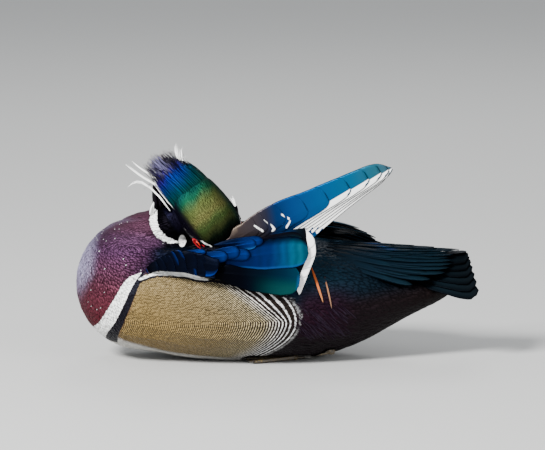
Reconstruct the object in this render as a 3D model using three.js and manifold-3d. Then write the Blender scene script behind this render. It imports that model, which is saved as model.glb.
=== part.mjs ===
// A drake wood duck at life size, resting on its belly and preening: the neck is bent back to its left,
// the crown turned outwards, and the bill is tucked under the left wing, whose primaries are raised.
// Millimetres, +Z up, breast towards -X, the bird's left side towards -Y, the floor at z = 0.
import * as THREE from "three";
import { mergeVertices } from "three/addons/utils/BufferGeometryUtils.js";
import Module from "manifold-3d";

const wasm = await Module();
wasm.setup();

// Driving dimensions
const GAP = 0.35; // clearance between neighbouring pieces
const BREAST_X = -188; // foremost point of the breast
const BREAST_ROUND = 63; // length over which the breast rounds off
const VENT_X = 168; // rear end of the under-tail feathers
const VENT_ROUND = 26;
const BREAST_END = -112; // where breast, torso and rump are parted
const RUMP_START = 62;
const BODY_FULLNESS = 2.2; // exponent of the body's sections
const FLANK_SWELL = 7; // how far the flank feathers stand off the side
const VANE_THICK = 0.7; // flight and tail feathers
const VANE_PITCH = 0.98; // one feather's height over the next in a stack
const HEAD_CENTRE = new THREE.Vector3(-63, -45, 139);
const HEAD_FORWARD = new THREE.Vector3(0.598, -0.226, -0.77).normalize();
const HEAD_UP = new THREE.Vector3(0.181, -0.897, 0.404);
const NAPE_X = -30; // where the crest leaves the skull, in the head's own frame
const CREST_REACH = -72; // its dark tips
const BILL_BASE_X = 31;
const BILL_LENGTH = 35;
const EYE_RADIUS = 5.4;
const EYE_AT = new THREE.Vector3(15, 20.4, -1); // the left eye, in the head's own frame
const LID_RADIUS = 4.5;
const LID_THICK = 0.95;
const BLADE_Y = -55; // plane of the raised primaries
const TAIL_FEATHERS = 6; // on each side of the middle one
const TAIL_TIP_X = 181; // middle feathers' tips
const TARSUS_RADIUS = 2.6;
const TOE_RADIUS = 2.3;
const LEFT = -1;
const RIGHT = 1;

const { clamp, smoothstep } = THREE.MathUtils;
const V = (x, y, z) => new THREE.Vector3(x, y, z);

// A smooth curve through stations [x, value], flat where neighbours turn.
function through(stations) {
  const slope = stations.map(([x, v], i) => {
    if (i === 0 || i === stations.length - 1) return 0;
    const [x0, v0] = stations[i - 1];
    const [x1, v1] = stations[i + 1];
    const before = (v - v0) / (x - x0);
    const after = (v1 - v) / (x1 - x);
    return before * after <= 0 ? 0 : (2 * before * after) / (before + after);
  });
  return (x) => {
    const last = stations.length - 1;
    if (x <= stations[0][0]) return stations[0][1];
    if (x >= stations[last][0]) return stations[last][1];
    const i = stations.findIndex(([end]) => end >= x) - 1;
    const [x0, v0] = stations[i];
    const [x1, v1] = stations[i + 1];
    const d = x1 - x0;
    const s = (x - x0) / d;
    return (
      v0 * (1 + 2 * s) * (1 - s) ** 2 +
      slope[i] * d * s * (1 - s) ** 2 +
      v1 * s * s * (3 - 2 * s) +
      slope[i + 1] * d * s * s * (s - 1)
    );
  };
}

// A closed geometry as a solid, with its faces out.
function solid(geometry) {
  const bare = new THREE.BufferGeometry().setAttribute("position", geometry.getAttribute("position"));
  bare.setIndex(geometry.getIndex());
  const merged = mergeVertices(bare, 1e-4);
  const build = (triVerts) =>
    new wasm.Manifold(
      new wasm.Mesh({ numProp: 3, vertProperties: merged.getAttribute("position").array, triVerts }),
    );
  const tris = new Uint32Array(merged.getIndex().array);
  const made = build(tris);
  return made.volume() > 0 ? made : build(tris.map((_, i) => tris[i - (i % 3) + [0, 2, 1][i % 3]]));
}

// The largest closed surface of a solid, with any sealed hollow filled.
function largest(made) {
  return made.decompose().reduce((a, b) => (b.volume() > a.volume() ? b : a));
}

const join = (pieces) => pieces.reduce((a, b) => a.add(b));

// A ball whose rows of points are moved onto sections: t runs from end to end, a round each section.
function loft(sectionAt, around, along) {
  const ball = new THREE.SphereGeometry(1, around, along);
  const p = ball.getAttribute("position");
  for (let i = 0; i < p.count; i++) {
    const t = Math.acos(clamp(p.getY(i), -1, 1)) / Math.PI;
    const v = sectionAt(t, Math.atan2(p.getZ(i), p.getX(i)));
    p.setXYZ(i, v.x, v.y, v.z);
  }
  return solid(ball);
}

// A point of a rounded section at angle a: half width w, height up or down, and fullness n.
function roundSection(w, up, down, n, a) {
  const c = Math.cos(a);
  const s = Math.sin(a);
  return [
    w * Math.sign(c) * Math.abs(c) ** (2 / n),
    (s > 0 ? up : down) * Math.sign(s) * Math.abs(s) ** (2 / n),
  ];
}

// How much of its full section a form has at x, where it rounds off over r0 and r1 at its ends.
function endRound(x, x0, r0, x1, r1) {
  const front = clamp((x0 + r0 - x) / r0, 0, 1);
  const rear = clamp((x - x1 + r1) / r1, 0, 1);
  return Math.sqrt(Math.max(0, 1 - front ** 2)) * Math.sqrt(Math.max(0, 1 - rear ** 2));
}

// A thin plate over rows (0 at the root, 1 at the tip) and columns, alike on both faces.
function plate(pointAt, rows, columns) {
  const points = [];
  const faces = [];
  const size = rows.length * (columns + 1);
  for (const face of [1, -1])
    for (const t of rows)
      for (let j = 0; j <= columns; j++) points.push(...pointAt(t, (2 * j) / columns - 1, face).toArray());
  const id = (i, j) => i * (columns + 1) + j;
  for (let i = 0; i < rows.length - 1; i++)
    for (let j = 0; j < columns; j++) {
      const [a, b, c, d] = [id(i, j), id(i, j + 1), id(i + 1, j + 1), id(i + 1, j)];
      faces.push(a, b, c, a, c, d, a + size, c + size, b + size, a + size, d + size, c + size);
    }
  const wall = (a, b) => faces.push(a, a + size, b + size, a, b + size, b);
  for (let i = 0; i < rows.length - 1; i++) {
    wall(id(i + 1, 0), id(i, 0));
    wall(id(i, columns), id(i + 1, columns));
  }
  for (let j = 0; j < columns; j++) {
    wall(id(0, j), id(0, j + 1));
    wall(id(rows.length - 1, j + 1), id(rows.length - 1, j));
  }
  const geometry = new THREE.BufferGeometry();
  geometry.setAttribute("position", new THREE.Float32BufferAttribute(points, 3));
  geometry.setIndex(faces);
  return solid(geometry);
}

const VANE_ROWS = [0, 0.25, 0.55, 0.82, 0.95, 1];
const flightOutline = through([[0, 0.3], [0.25, 0.8], [0.55, 1], [0.82, 0.95], [0.95, 0.62], [1, 0.22]]);
const bluntOutline = through([[0, 0.25], [0.25, 0.7], [0.55, 0.95], [0.82, 1], [0.95, 0.9], [1, 0.62]]);
const softOutline = through([[0, 0.5], [0.25, 0.95], [0.55, 1], [0.82, 0.78], [0.95, 0.42], [1, 0.15]]);

// A feather's two webs: s runs from -1 to 1 across it, and skew moves the shaft off its middle.
const webWidth = (half, t, s, outline, skew) => half * outline(t) * s * (1 + Math.sign(s) * skew);

// A feather in the air, along a bend from root to tip. facing and facingTip are the way its upper face
// looks there, lean tips it round its shaft like a shingle, and crown lifts its middle.
function vane({ root, mid, tip, half, facing, facingTip = facing, lean = 0, crown = 0.1, thick = VANE_THICK,
  outline = flightOutline, rows = VANE_ROWS, columns = 1, skew = 0 }) {
  const path = new THREE.QuadraticBezierCurve3(root, mid ?? root.clone().lerp(tip, 0.5), tip);
  return plate((t, s, face) => {
    const tangent = path.getTangent(clamp(t, 0.01, 0.99));
    const up = facing.clone().lerp(facingTip, t);
    up.addScaledVector(tangent, -up.dot(tangent)).normalize();
    const side = V(0, 0, 0).crossVectors(tangent, up);
    up.addScaledVector(side, Math.tan(lean)).normalize();
    side.crossVectors(tangent, up);
    return path
      .getPoint(t)
      .addScaledVector(side, webWidth(half, t, s, outline, skew))
      .addScaledVector(up, crown * half * (1 - s * s) + face * (thick / 2) * (1 - 0.35 * t));
  }, rows, columns);
}

// A feather that lies on a sheet, a function from two lengths and a height off it to a point.
// from, mid and to are places on the sheet, and off is its height there at root and tip.
function laid(sheet, { from, mid, to, off, half, lean = 0, crown = 0.04, thick = VANE_THICK,
  outline = flightOutline, rows = VANE_ROWS, columns = 1, skew = 0 }) {
  const flat = ([a, b]) => new THREE.Vector2(a, b);
  const middle = mid ? flat(mid) : flat(from).lerp(flat(to), 0.5);
  const path = new THREE.QuadraticBezierCurve(flat(from), middle, flat(to));
  return plate((t, s, face) => {
    const tangent = path.getTangent(clamp(t, 0.01, 0.99));
    const w = webWidth(half, t, s, outline, skew);
    const p = path.getPoint(t).add(new THREE.Vector2(-tangent.y, tangent.x).multiplyScalar(w));
    const height = off[0] + (off[1] - off[0]) * t + Math.tan(lean) * w + crown * half * (1 - s * s);
    return sheet(p.x, p.y, height + face * (thick / 2) * (1 - 0.35 * t));
  }, rows, columns);
}

// The pad of flesh and quills that a group of feathers grows from, between two heights off a sheet.
function pad(sheet, centre, reach, from, to) {
  const form = new THREE.SphereGeometry(1, 10, 6);
  const p = form.getAttribute("position");
  for (let i = 0; i < p.count; i++) {
    const rise = Math.sign(p.getY(i)) * Math.abs(p.getY(i)) ** 0.6;
    const v = sheet(centre[0] + reach[0] * p.getX(i), centre[1] + reach[1] * p.getZ(i),
      (from + to) / 2 + ((to - from) / 2) * rise);
    p.setXYZ(i, v.x, v.y, v.z);
  }
  return solid(form);
}

// count like pieces, made from their number and from how far along the row they are.
const row = (count, make) =>
  Array.from({ length: count }, (_, i) => make(i, count > 1 ? i / (count - 1) : 0));

// The same draws each run, from -1 to 1.
function seeded(seed) {
  let state = seed;
  return () => {
    state = (state * 1664525 + 1013904223) % 4294967296;
    return (state / 4294967296) * 2 - 1;
  };
}

// The body without its wings: [x, value] stations read from breast to vent.
const bodyTop = through([[-125, 133], [-95, 127], [-60, 117], [-20, 114], [20, 114], [55, 109], [85, 99],
  [100, 90], [112, 81], [130, 76], [150, 72], [168, 69]]);
const bodyBottom = through([[-125, 7], [-95, 1], [-60, -3], [-20, -4], [20, -3], [55, 5], [85, 17],
  [110, 31], [130, 42], [150, 51], [168, 57]]);
const bodyWidest = through([[-125, 70], [-60, 58], [20, 56], [85, 62], [130, 63], [168, 64]]);
const bodyHalfWidth = through([[-125, 62], [-95, 66], [-60, 68], [-20, 69], [20, 67], [55, 60], [85, 50],
  [110, 40], [130, 32], [150, 25], [168, 19]]);

// How far the flank feathers swell the side at a place: in full below their upper edge, from the
// black bar behind the breast to the last barred feathers.
const flankEdge = through([[-150, 76], [-112, 89], [-76, 88], [-40, 81], [0, 70], [28, 52]]);
function flankSwell(x, z) {
  const lengthwise = smoothstep(x, -160, -130) * (1 - smoothstep(x, 0, 45));
  const upward = 1 - smoothstep(z, flankEdge(x) - 18, flankEdge(x) + 5);
  return FLANK_SWELL * lengthwise * upward * smoothstep(z, 2, 34);
}

// A point of the body at x and angle a (0 is the bird's right side, 90 degrees its back), and the way
// out of it.
function bodyAt(x, a, off = 0, swell = true) {
  const k = endRound(x, BREAST_X, BREAST_ROUND, VENT_X, VENT_ROUND);
  const zc = bodyWidest(x);
  const w = bodyHalfWidth(x) * k;
  const up = (bodyTop(x) - zc) * k;
  const down = (zc - bodyBottom(x)) * k;
  const [y, z] = roundSection(w, up, down, BODY_FULLNESS, a);
  const h = z > 0 ? up : down;
  const out = V(0, Math.sign(y) * Math.abs(y / (w + 1e-6)) ** (BODY_FULLNESS - 1) / (w + 1e-6),
    Math.sign(z) * Math.abs(z / (h + 1e-6)) ** (BODY_FULLNESS - 1) / (h + 1e-6));
  out.normalize();
  const add = off + (swell ? flankSwell(x, zc + z) * Math.abs(out.y) : 0);
  return { point: V(x, y, zc + z).addScaledVector(out, k > 0 ? add : 0), out };
}

// The back as a sheet: x along the body, b round it from the middle of the back to the bird's right.
const backSheet = (x, b, off) => bodyAt(x, Math.PI / 2 - b / bodyHalfWidth(x), off, false).point;

// The head's frame: x towards the bill, y to the bird's left, z through the crown.
const headFrame = (() => {
  const up = HEAD_UP.clone().addScaledVector(HEAD_FORWARD, -HEAD_UP.dot(HEAD_FORWARD)).normalize();
  const left = V(0, 0, 0).crossVectors(up, HEAD_FORWARD);
  return new THREE.Matrix4().makeBasis(HEAD_FORWARD, left, up).setPosition(HEAD_CENTRE);
})();
const inHead = (x, y, z) => V(x, y, z).applyMatrix4(headFrame);

const headHalfWidth = through([[-52, 17], [-40, 20], [-26, 22.5], [-10, 24.5], [5, 25], [18, 23], [27, 18.5],
  [35, 12]]);
const headUp = through([[-52, 9], [-40, 14], [-26, 18.5], [-10, 21], [5, 21.5], [18, 18.5], [27, 13],
  [35, 8]]);
const headDown = through([[-52, 7], [-40, 11], [-26, 17], [-10, 22], [5, 23], [18, 20], [27, 15],
  [35, 10]]);

const headForm = (grow = 0) =>
  loft((t, a) => {
    const x = -9 - (45 + grow) * Math.cos(Math.PI * t);
    const inner = clamp(x, -54, 36);
    const k = endRound(x, -54 - grow, 14 + grow, 36 + grow, 7 + grow);
    const [y, z] = roundSection(headHalfWidth(inner) * k, headUp(inner) * k, headDown(inner) * k, 2.25, a);
    const far = Math.hypot(y, z) || 1;
    return inHead(x, y + (k > 0 ? (grow * y) / far : 0), z + (k > 0 ? (grow * z) / far : 0));
  }, 24, 18);

// One half of the bill: x runs from the base, and its depth shrinks to the nail.
const billHalfWidth = through([[0, 9.2], [8, 8.6], [22, 8.8], [30, 8], [35, 5]]);
function billForm(top, bottom, length, grow = 0) {
  return loft((t, a) => {
    const x = (length / 2) * (1 - Math.cos(Math.PI * t));
    const k = endRound(x, -6, 6, length, 6);
    const base = t === 0 ? 0 : k;
    const zc = (top(x) + bottom(x)) / 2;
    const h = Math.max(0.3, (top(x) - bottom(x)) / 2);
    const tall = (h + grow) * base;
    const [y, z] = roundSection((billHalfWidth(x) + grow) * base, tall, tall, 2.6, a);
    return inHead(BILL_BASE_X + x + (x > 3 ? grow * (x / length) : -2), y, zc + z);
  }, 12, 10);
}

const culmen = through([[0, 7.5], [8, 3.4], [20, -1], [30, -2.6], [35, -4]]);
const gape = through([[0, -5.2], [12, -5.6], [30, -6], [35, -5.4]]);
const chin = through([[0, -9.5], [12, -8.9], [28, -8], [33, -7]]);
const upperBill = (grow = 0) => billForm(culmen, gape, BILL_LENGTH, grow);
const lowerBill = (grow = 0) => billForm((x) => gape(x) - GAP, chin, BILL_LENGTH - 2, grow);

function ball(centre, radius, grow = 0, around = 12) {
  const form = new THREE.SphereGeometry(radius + grow, around, around / 2 + 2);
  return solid(form.translate(centre.x, centre.y, centre.z));
}

const eyeCentre = (side) => inHead(EYE_AT.x, side * EYE_AT.y, EYE_AT.z);

// The neck bends from the breast up and back to the head, on the bird's left.
const neckPath = new THREE.CatmullRomCurve3([V(-126, 2, 62), V(-127, 1, 90), V(-119, -10, 113),
  V(-102, -24, 130), V(-80, -34, 138)]);
const neckRadius = through([[0, 54], [0.25, 43], [0.5, 32], [0.75, 24], [1, 21]]);
function neckForm(grow = 0) {
  const reference = V(0.2, -0.9, 0.3);
  return loft((t, a) => {
    const u = 0.5 - 0.5 * Math.cos(Math.PI * t);
    const tangent = neckPath.getTangent(u);
    const side = V(0, 0, 0).crossVectors(tangent, reference).normalize();
    const up = V(0, 0, 0).crossVectors(side, tangent);
    const r = (neckRadius(u) + grow) * endRound(u, 0, 0.12, 1, 0.12);
    return neckPath.getPoint(u).addScaledVector(side, r * Math.cos(a)).addScaledVector(up, r * Math.sin(a));
  }, 22, 14);
}

const bodyForm = (grow = 0) =>
  loft((t, a) => {
    const mid = (BREAST_X + VENT_X) / 2;
    const x = mid - ((VENT_X - BREAST_X) / 2) * Math.cos(Math.PI * t);
    const { point } = bodyAt(x, a, grow);
    if (t === 0) point.x -= grow;
    if (t === 1) point.x += grow;
    return point;
  }, 28, 26);

// The left wing is lifted off the body: its outer face is a sheet at this y, nearer the body above.
const wingFace = through([[-130, -52], [-110, -64], [-85, -72], [-20, -74.5], [40, -73]]);
const liftedSheet = (x, z, off) => V(x, wingFace(x) + 0.09 * (z - 95) - off, z);
const bladeSheet = (x, z, off) => V(x, BLADE_Y - off, z);

// An arm as a flattened rod along its path, its sections turned to lie on the body.
function armForm(points, thick, tall, turn, grow = 0) {
  const path = new THREE.CatmullRomCurve3(points);
  const fullness = through([[0, 0.6], [0.3, 1], [0.65, 0.95], [1, 0.6]]);
  return loft((t, a) => {
    const u = 0.5 - 0.5 * Math.cos(Math.PI * t);
    const k = endRound(u, 0, 0.25, 1, 0.25);
    const h = (tall * fullness(u) + grow) * k;
    const [y, z] = roundSection((thick + grow) * k, h, h, 2, a);
    return path.getPoint(u).add(V(0, y, z).applyAxisAngle(V(1, 0, 0), turn));
  }, 12, 10);
}
const leftArm = [V(-122, -42, 96), V(-100, -56, 96), V(-66, -63, 98), V(-34, -64, 104)];
const rightArm = [[-116, 58], [-80, 64], [-30, 62], [16, 56], [40, 48]].map(([x, b]) => backSheet(x, b, 1.5));
const armSolid = (side, grow) =>
  side === LEFT ? armForm(leftArm, 5, 13, 0, grow) : armForm(rightArm, 5, 13, 0.7, grow);

// Raised blade of the left wing: the last secondaries and then the primaries, the innermost on top,
// growing from the hand.
function leftPrimaries() {
  const count = 11;
  const tipX = through([[0, -17], [2, 8], [3, 29], [7, 97], [9, 107], [10, 103]]);
  const tipZ = through([[0, 131], [2, 141], [3, 148], [7, 182], [9, 186], [10, 182]]);
  const feathers = row(count, (i, f) => {
    const from = [-37 + 57 * f, 113 - 4 * f];
    const to = [tipX(i), tipZ(i)];
    const mid = [from[0] + (to[0] - from[0]) * (0.5 - 0.12 * f), from[1] + (to[1] - from[1]) * 0.53 + 2];
    const off = (count - 1 - i) * VANE_PITCH;
    const half = i < 2 ? 8 : 11;
    return laid(bladeSheet, { from, mid, to, off: [off, off], half, skew: 0.55, crown: 0.03 });
  });
  return join([...feathers, pad(bladeSheet, [-13, 111], [43, 8], -2, (count - 1) * VANE_PITCH + 1.5)]);
}

// Secondaries of the lifted wing, fanned down its rear edge, the uppermost outside.
function leftSecondaries() {
  const tipX = through([[74, 23], [90, 32], [105, 36], [120, 34], [125, 32]]);
  const feathers = row(6, (i, f) => {
    const z = 78 + 45 * f;
    const off = -4.4 + i * VANE_PITCH;
    return laid(liftedSheet, { from: [-50 + 8 * f, 91 + 14 * f], mid: [-10, 88 + 26 * f], to: [tipX(z), z],
      off: [off, off], half: 10.5, outline: bluntOutline });
  });
  return join([...feathers, pad(liftedSheet, [-44, 98], [12, 12], -5.5, 1)]);
}

// Two broad tertials over them.
function leftTertials() {
  const broad = { outline: bluntOutline, columns: 3 };
  const lower = laid(liftedSheet, { ...broad, from: [-56, 91], mid: [-20, 88], to: [21, 83],
    off: [2, 2.1], half: 15.5 });
  const upper = laid(liftedSheet, { ...broad, from: [-47, 101], mid: [-10, 110], to: [28.5, 110],
    off: [3.3, 3.4], half: 13 });
  return join([lower, upper, pad(liftedSheet, [-48, 97], [9, 9], 1.35, 3.5)]);
}

// Small feathers in tiers, at places [root, tip] on a sheet: each tier lies over the one behind it, and
// all rise evenly from a height at x = 0 to pass over the flight feathers.
function tiers(sheet, places, heightAtZero, rise, half, narrowing = 0) {
  const height = (x, i) => heightAtZero + rise * x + i * VANE_PITCH;
  return places.map(([a0, b0, a1, b1], i) =>
    laid(sheet, { from: [a0, b0], to: [a1, b1], off: [height(a0, i), height(a1, i)],
      half: half - narrowing * i, outline: softOutline, rows: [0, 0.35, 0.7, 1] }));
}

// Coverts and shoulder feathers of the lifted wing.
const leftCoverts = () => join([
  ...tiers(liftedSheet, [[-67, 109, -19, 118], [-71, 107, -34, 105], [-78, 106, -46, 102],
    [-82, 108, -62, 111]], 6.8, 0.05, 6.2),
  pad(liftedSheet, [-74, 105], [13, 11], -5, 6.2),
]);
const leftScapulars = () => join([
  ...tiers(liftedSheet, [[-100, 97, -52, 96], [-104, 93, -66, 91], [-108, 103, -76, 107], [-110, 98, -82, 99],
    [-116, 95, -92, 93]], 13.8, 0.086, 11.5, 0.7),
  pad(liftedSheet, [-105, 99], [16, 10], -2, 8),
]);

// Folded right wing, laid on the back: shoulder, coverts, secondaries, tertials and primaries.
const rightScapulars = () => join([
  ...tiers(backSheet, [[-90, 42, -8, 46], [-92, 56, -30, 59], [-96, 67, -50, 69], [-98, 40, -46, 40],
    [-104, 54, -66, 57], [-108, 64, -80, 66]], 19.3, 0.12, 13, 0.7),
  pad(backSheet, [-97, 54], [17, 17], 7, 11.8),
]);
const rightCoverts = () => join([
  ...tiers(backSheet, [[-66, 76, -30, 82], [-66, 68, -28, 71], [-68, 60, -32, 61]], 15.8, 0.128, 7),
  pad(backSheet, [-64, 68], [8, 11], 6.9, 9.4),
]);
function rightSecondaries() {
  const feathers = row(5, (i, f) => {
    const off = 7.3 + i * VANE_PITCH;
    return laid(backSheet, { from: [-34 + 6 * f, 74 - 16 * f], mid: [10, 78 - 22 * f],
      to: [44 + 14 * f, 78 - 34 * f], off: [off, off], half: 10, outline: bluntOutline });
  });
  return join([...feathers, pad(backSheet, [-33, 66], [10, 12], 6.9, 11.4)]);
}
function rightTertials() {
  const feathers = row(4, (i, f) => {
    const off = 12.6 + i * VANE_PITCH;
    return laid(backSheet, { from: [-18 + 4 * f, 50 - 12 * f], mid: [34, 44 - 16 * f],
      to: [102 - 24 * f, 30 - 22 * f], off: [off, off + 8.5], half: 11 });
  });
  return join([...feathers, pad(backSheet, [-12, 45], [11, 11], 11.8, 15.8)]);
}
function rightPrimaries() {
  const feathers = row(5, (i, f) => {
    const tip = 122 - 20 * f;
    const height = (x) => 0.25 * (x - 42) + i * VANE_PITCH;
    return laid(backSheet, { from: [46, 54 - 6 * f], mid: [80, 46 - 8 * f], to: [tip, 27],
      off: [height(46), height(tip)], half: 8, skew: 0.4 });
  });
  return join([...feathers, pad(backSheet, [50, 51], [9, 8], 0.6, 8.5)]);
}

// Tail: feathers tented from a high middle to low outer edges, the middle one on top.
const outwards = (count) => [0, ...row(count, (i) => i + 1), ...row(count, (i) => -i - 1)];
function tail() {
  const feathers = outwards(TAIL_FEATHERS).map((place) => {
    const f = Math.abs(place) / TAIL_FEATHERS;
    const side = Math.sign(place);
    const tilt = side * f;
    return vane({
      root: V(112, side * 10 * f, 94 - 10 * f - 0.3 * Math.abs(place)),
      tip: V(TAIL_TIP_X + 8 * f, side * 32 * f ** 0.9, 98 - 32 * f ** 1.25),
      half: 8.4, skew: -0.5 * side, outline: bluntOutline, crown: 0,
      facing: V(0, Math.sin(tilt * 0.7), Math.cos(tilt)), facingTip: V(0.1, Math.sin(tilt), Math.cos(tilt)),
      lean: side * 0.17,
    });
  });
  const root = loft((t, a) => {
    const k = Math.sin(Math.PI * t) ** 0.5;
    return V(118 - 14 * Math.cos(Math.PI * t), 16 * k * Math.cos(a),
      87 + 8 * k * Math.sin(a) - 6 * Math.cos(a) ** 2);
  }, 14, 8);
  return join([...feathers, root]);
}

// Upper tail coverts: long pointed feathers draped from the rump over the tail's root.
function tailCoverts() {
  const count = 4;
  const feathers = outwards(count).map((place) => {
    const f = Math.abs(place) / count;
    const side = Math.sign(place);
    return vane({
      root: backSheet(84, side * 32 * f, 2 + (count - Math.abs(place)) * VANE_PITCH),
      mid: V(122, side * 31 * f, 105 - 19 * f),
      tip: V(163 - 6 * f, side * 22 * f, 103 - 11 * f),
      half: 7, outline: softOutline, crown: 0, rows: [0, 0.35, 0.7, 1],
      facing: V(0, side * 0.8 * f, 1), lean: side * 0.2,
    });
  });
  return join([...feathers, pad(backSheet, [88, 0], [10, 36], -1, 6.4)]);
}

// Foot: three front toes joined by a web, a small hind toe, and the tarsus lying back to the heel.
const toeJoint = (side) => V(18, 27 * side, 3.2);
const heel = (side) => V(52, 30 * side, 9.5);
const toeTips = (side) => [V(-14, 13 * side, 2), V(-28, 29 * side, 2), V(-20, 46 * side, 2)];

function rod(from, to, r0, r1, grow = 0) {
  const d = to.clone().sub(from);
  const rodShape = new THREE.CylinderGeometry(r1 + grow, r0 + grow, d.length(), 6);
  rodShape.applyQuaternion(new THREE.Quaternion().setFromUnitVectors(V(0, 1, 0), d.clone().normalize()));
  const mid = from.clone().lerp(to, 0.5);
  return solid(rodShape.translate(mid.x, mid.y, mid.z));
}

function footForm(side, grow = 0) {
  const joint = toeJoint(side);
  const tips = toeTips(side);
  const toes = tips.map((tip) => rod(joint, tip, TOE_RADIUS, 1.2, grow));
  const web = new THREE.Shape([joint, ...tips].map((p) => new THREE.Vector2(p.x, p.y)));
  const webPlate = new THREE.ExtrudeGeometry(web, { depth: 1.4 + 2 * grow, bevelEnabled: false });
  webPlate.translate(0, 0, 0.8 - grow);
  const hind = rod(joint, joint.clone().add(V(9, -5 * side, -1)), 1.5, 0.8, grow);
  return join([...toes, solid(webPlate), hind, ball(joint, 3, grow, 8)]);
}

// The hollow in the belly that a foot lies in.
function footRoom(side) {
  const around = [[34, 18], [32, 34], [-22, 52], [-33, 30], [-18, 8]];
  const outline = new THREE.Shape(around.map(([x, y]) => new THREE.Vector2(x, side * y)));
  const room = new THREE.ExtrudeGeometry(outline, { depth: 9, bevelEnabled: false });
  return solid(room.translate(0, 0, -2));
}

const legForm = (side, grow = 0) =>
  join([rod(toeJoint(side).add(V(3.6, 0.3 * side, 0.9)), heel(side), TARSUS_RADIUS, TARSUS_RADIUS, grow),
    ball(heel(side), 3.6, grow, 8), rod(heel(side), V(34, 38 * side, 24), 3.4, 5.5, grow)]);

// Crest: rings of narrow feathers round a short core, drooping to the bird's right, and white strands.
const crestMiddle = through([[-75, -8], [-52, -5], [-37, -1.3], [NAPE_X, 0]]);
const crestHalf = through([[-75, 19], [-60, 21], [-45, 22], [NAPE_X, 21.5]]);
const crestRise = through([[-75, 9], [-60, 12], [-45, 15.5], [NAPE_X, 18]]);
const inCrest = (x, k, a) =>
  inHead(x, crestMiddle(x) + crestHalf(x) * k * Math.cos(a), crestRise(x) * k * Math.sin(a));
function crestRing([root, kRoot], [mid, kMid], [tip, kTip], count, half, draw) {
  return row(count, (i) => {
    const a = (2 * Math.PI * (i + 0.2 * draw())) / count;
    const out = inHead(0, Math.cos(a), Math.sin(a)).sub(HEAD_CENTRE);
    return vane({ root: inCrest(root, kRoot, a), mid: inCrest(mid, kMid, a),
      tip: inCrest(tip + 3 * draw(), kTip, a), half, facing: out, outline: softOutline, crown: 0,
      lean: 0.2, rows: [0, 0.4, 0.75, 1] });
  });
}
const crestStrands = [
  [[-36, -12, 0], [-58, -27.5, -0.5], [-84, -34.5, 1]],
  [[-37, -9, -0.5], [-60, -21.5, -1.5], [-83.5, -27, -0.5]],
  [[-35, -14, -0.5], [-51, -31.5, 0.5], [-65.5, -45.5, -2]],
  [[-36, 5, -1], [-62.5, 4.5, -6], [-74, 19, -3.5]],
  [[-37, 7, -2], [-60, 9, -6.5], [-67.5, 20, -7]],
  [[-36, 8.5, -3], [-56, 10, -7], [-60, 20.5, -11]],
].map((places) => places.map((place) => inHead(...place)));
function crest() {
  const draw = seeded(7);
  const core = loft((t, a) => {
    const x = NAPE_X - 6 - 10 * Math.cos(Math.PI * t);
    const k = (t === 0 || t === 1 ? 0 : 0.9) * (1 - 0.35 * smoothstep(-x, -NAPE_X, 46));
    return inCrest(x, k, a);
  }, 16, 6);
  const strands = crestStrands.map(([root, mid, tip]) =>
    vane({ root, mid, tip, half: 1.6, facing: HEAD_UP, outline: softOutline, rows: [0, 0.4, 0.75, 1] }));
  return join([
    core,
    ...crestRing([-31, 0.84], [-46, 1.08], [-60, 1.02], 12, 5.2, draw),
    ...crestRing([-36, 0.6], [-52, 0.8], [-68, 0.8], 8, 4.6, draw),
    ...crestRing([-39, 0.3], [-56, 0.42], [CREST_REACH, 0.42], 4, 4.2, draw),
    ...strands,
  ]);
}
// What the neck keeps clear of: the sweep of the crest's outer ring.
const crestClear = () =>
  loft((t, a) => inCrest(-48 - 26 * Math.cos(Math.PI * t), t === 0 || t === 1 ? 0 : 1.3, a), 18, 8);

// Assembly: earlier pieces keep their shape, and later ones are cut clear of them.
const floorTrim = (made) => made.trimByPlane([0, 0, 1], 0);
const between = (made, along, from, to) => {
  const n = along.toArray();
  return made.trimByPlane(n, from).trimByPlane(n.map((v) => -v), -to);
};
const clearOf = (made, others) => others.reduce((kept, other) => kept.subtract(other), made);

const headClear = headForm(GAP);
const neckClear = neckForm(GAP);
const bodyClear = bodyForm(GAP);
const billClear = join([upperBill(GAP + 0.2), lowerBill(GAP + 0.2)]);
const armsClear = [LEFT, RIGHT].map((side) => armSolid(side, GAP));
const feetClear = [LEFT, RIGHT].flatMap((side) => [footRoom(side), legForm(side, GAP + 0.1)]);

const nodes = [];
function node(name, made, color, roughness = 0.6) {
  const m = largest(made).getMesh();
  const position = new Float32Array(m.numVert * 3);
  for (let i = 0; i < m.numVert; i++)
    position.set(m.vertProperties.subarray(i * m.numProp, i * m.numProp + 3), i * 3);
  const geometry = new THREE.BufferGeometry();
  geometry.setAttribute("position", new THREE.BufferAttribute(position, 3));
  geometry.setIndex(new THREE.BufferAttribute(m.triVerts, 1));
  geometry.computeVertexNormals();
  const mesh = new THREE.Mesh(geometry, new THREE.MeshStandardMaterial({ color, roughness, metalness: 0 }));
  mesh.name = name;
  nodes.push(mesh);
}

// Head: lids raised round the eyes, the bill divided by the line of the mouth, and open nostrils.
const skullAt = HEAD_CENTRE.dot(HEAD_FORWARD);
const lid = (side) => {
  const ring = new THREE.TorusGeometry(LID_RADIUS, LID_THICK, 5, 14).rotateX(Math.PI / 2);
  return solid(ring.translate(EYE_AT.x, side * (EYE_AT.y + 3.5), EYE_AT.z).applyMatrix4(headFrame));
};
const nostril = (side) => {
  const pit = new THREE.SphereGeometry(1, 10, 6).scale(2.4, 1.4, 1);
  return solid(pit.translate(BILL_BASE_X + 13, side * 6.9, 0.4).applyMatrix4(headFrame));
};
const skull = between(headForm(), HEAD_FORWARD, skullAt + NAPE_X + GAP, skullAt + BILL_BASE_X);
const eyeSockets = [LEFT, RIGHT].map((side) => ball(eyeCentre(side), EYE_RADIUS, GAP));
node("head", clearOf(join([skull, lid(LEFT), lid(RIGHT)]), [...eyeSockets, billClear]), 0x1f5a3a, 0.4);
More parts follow.
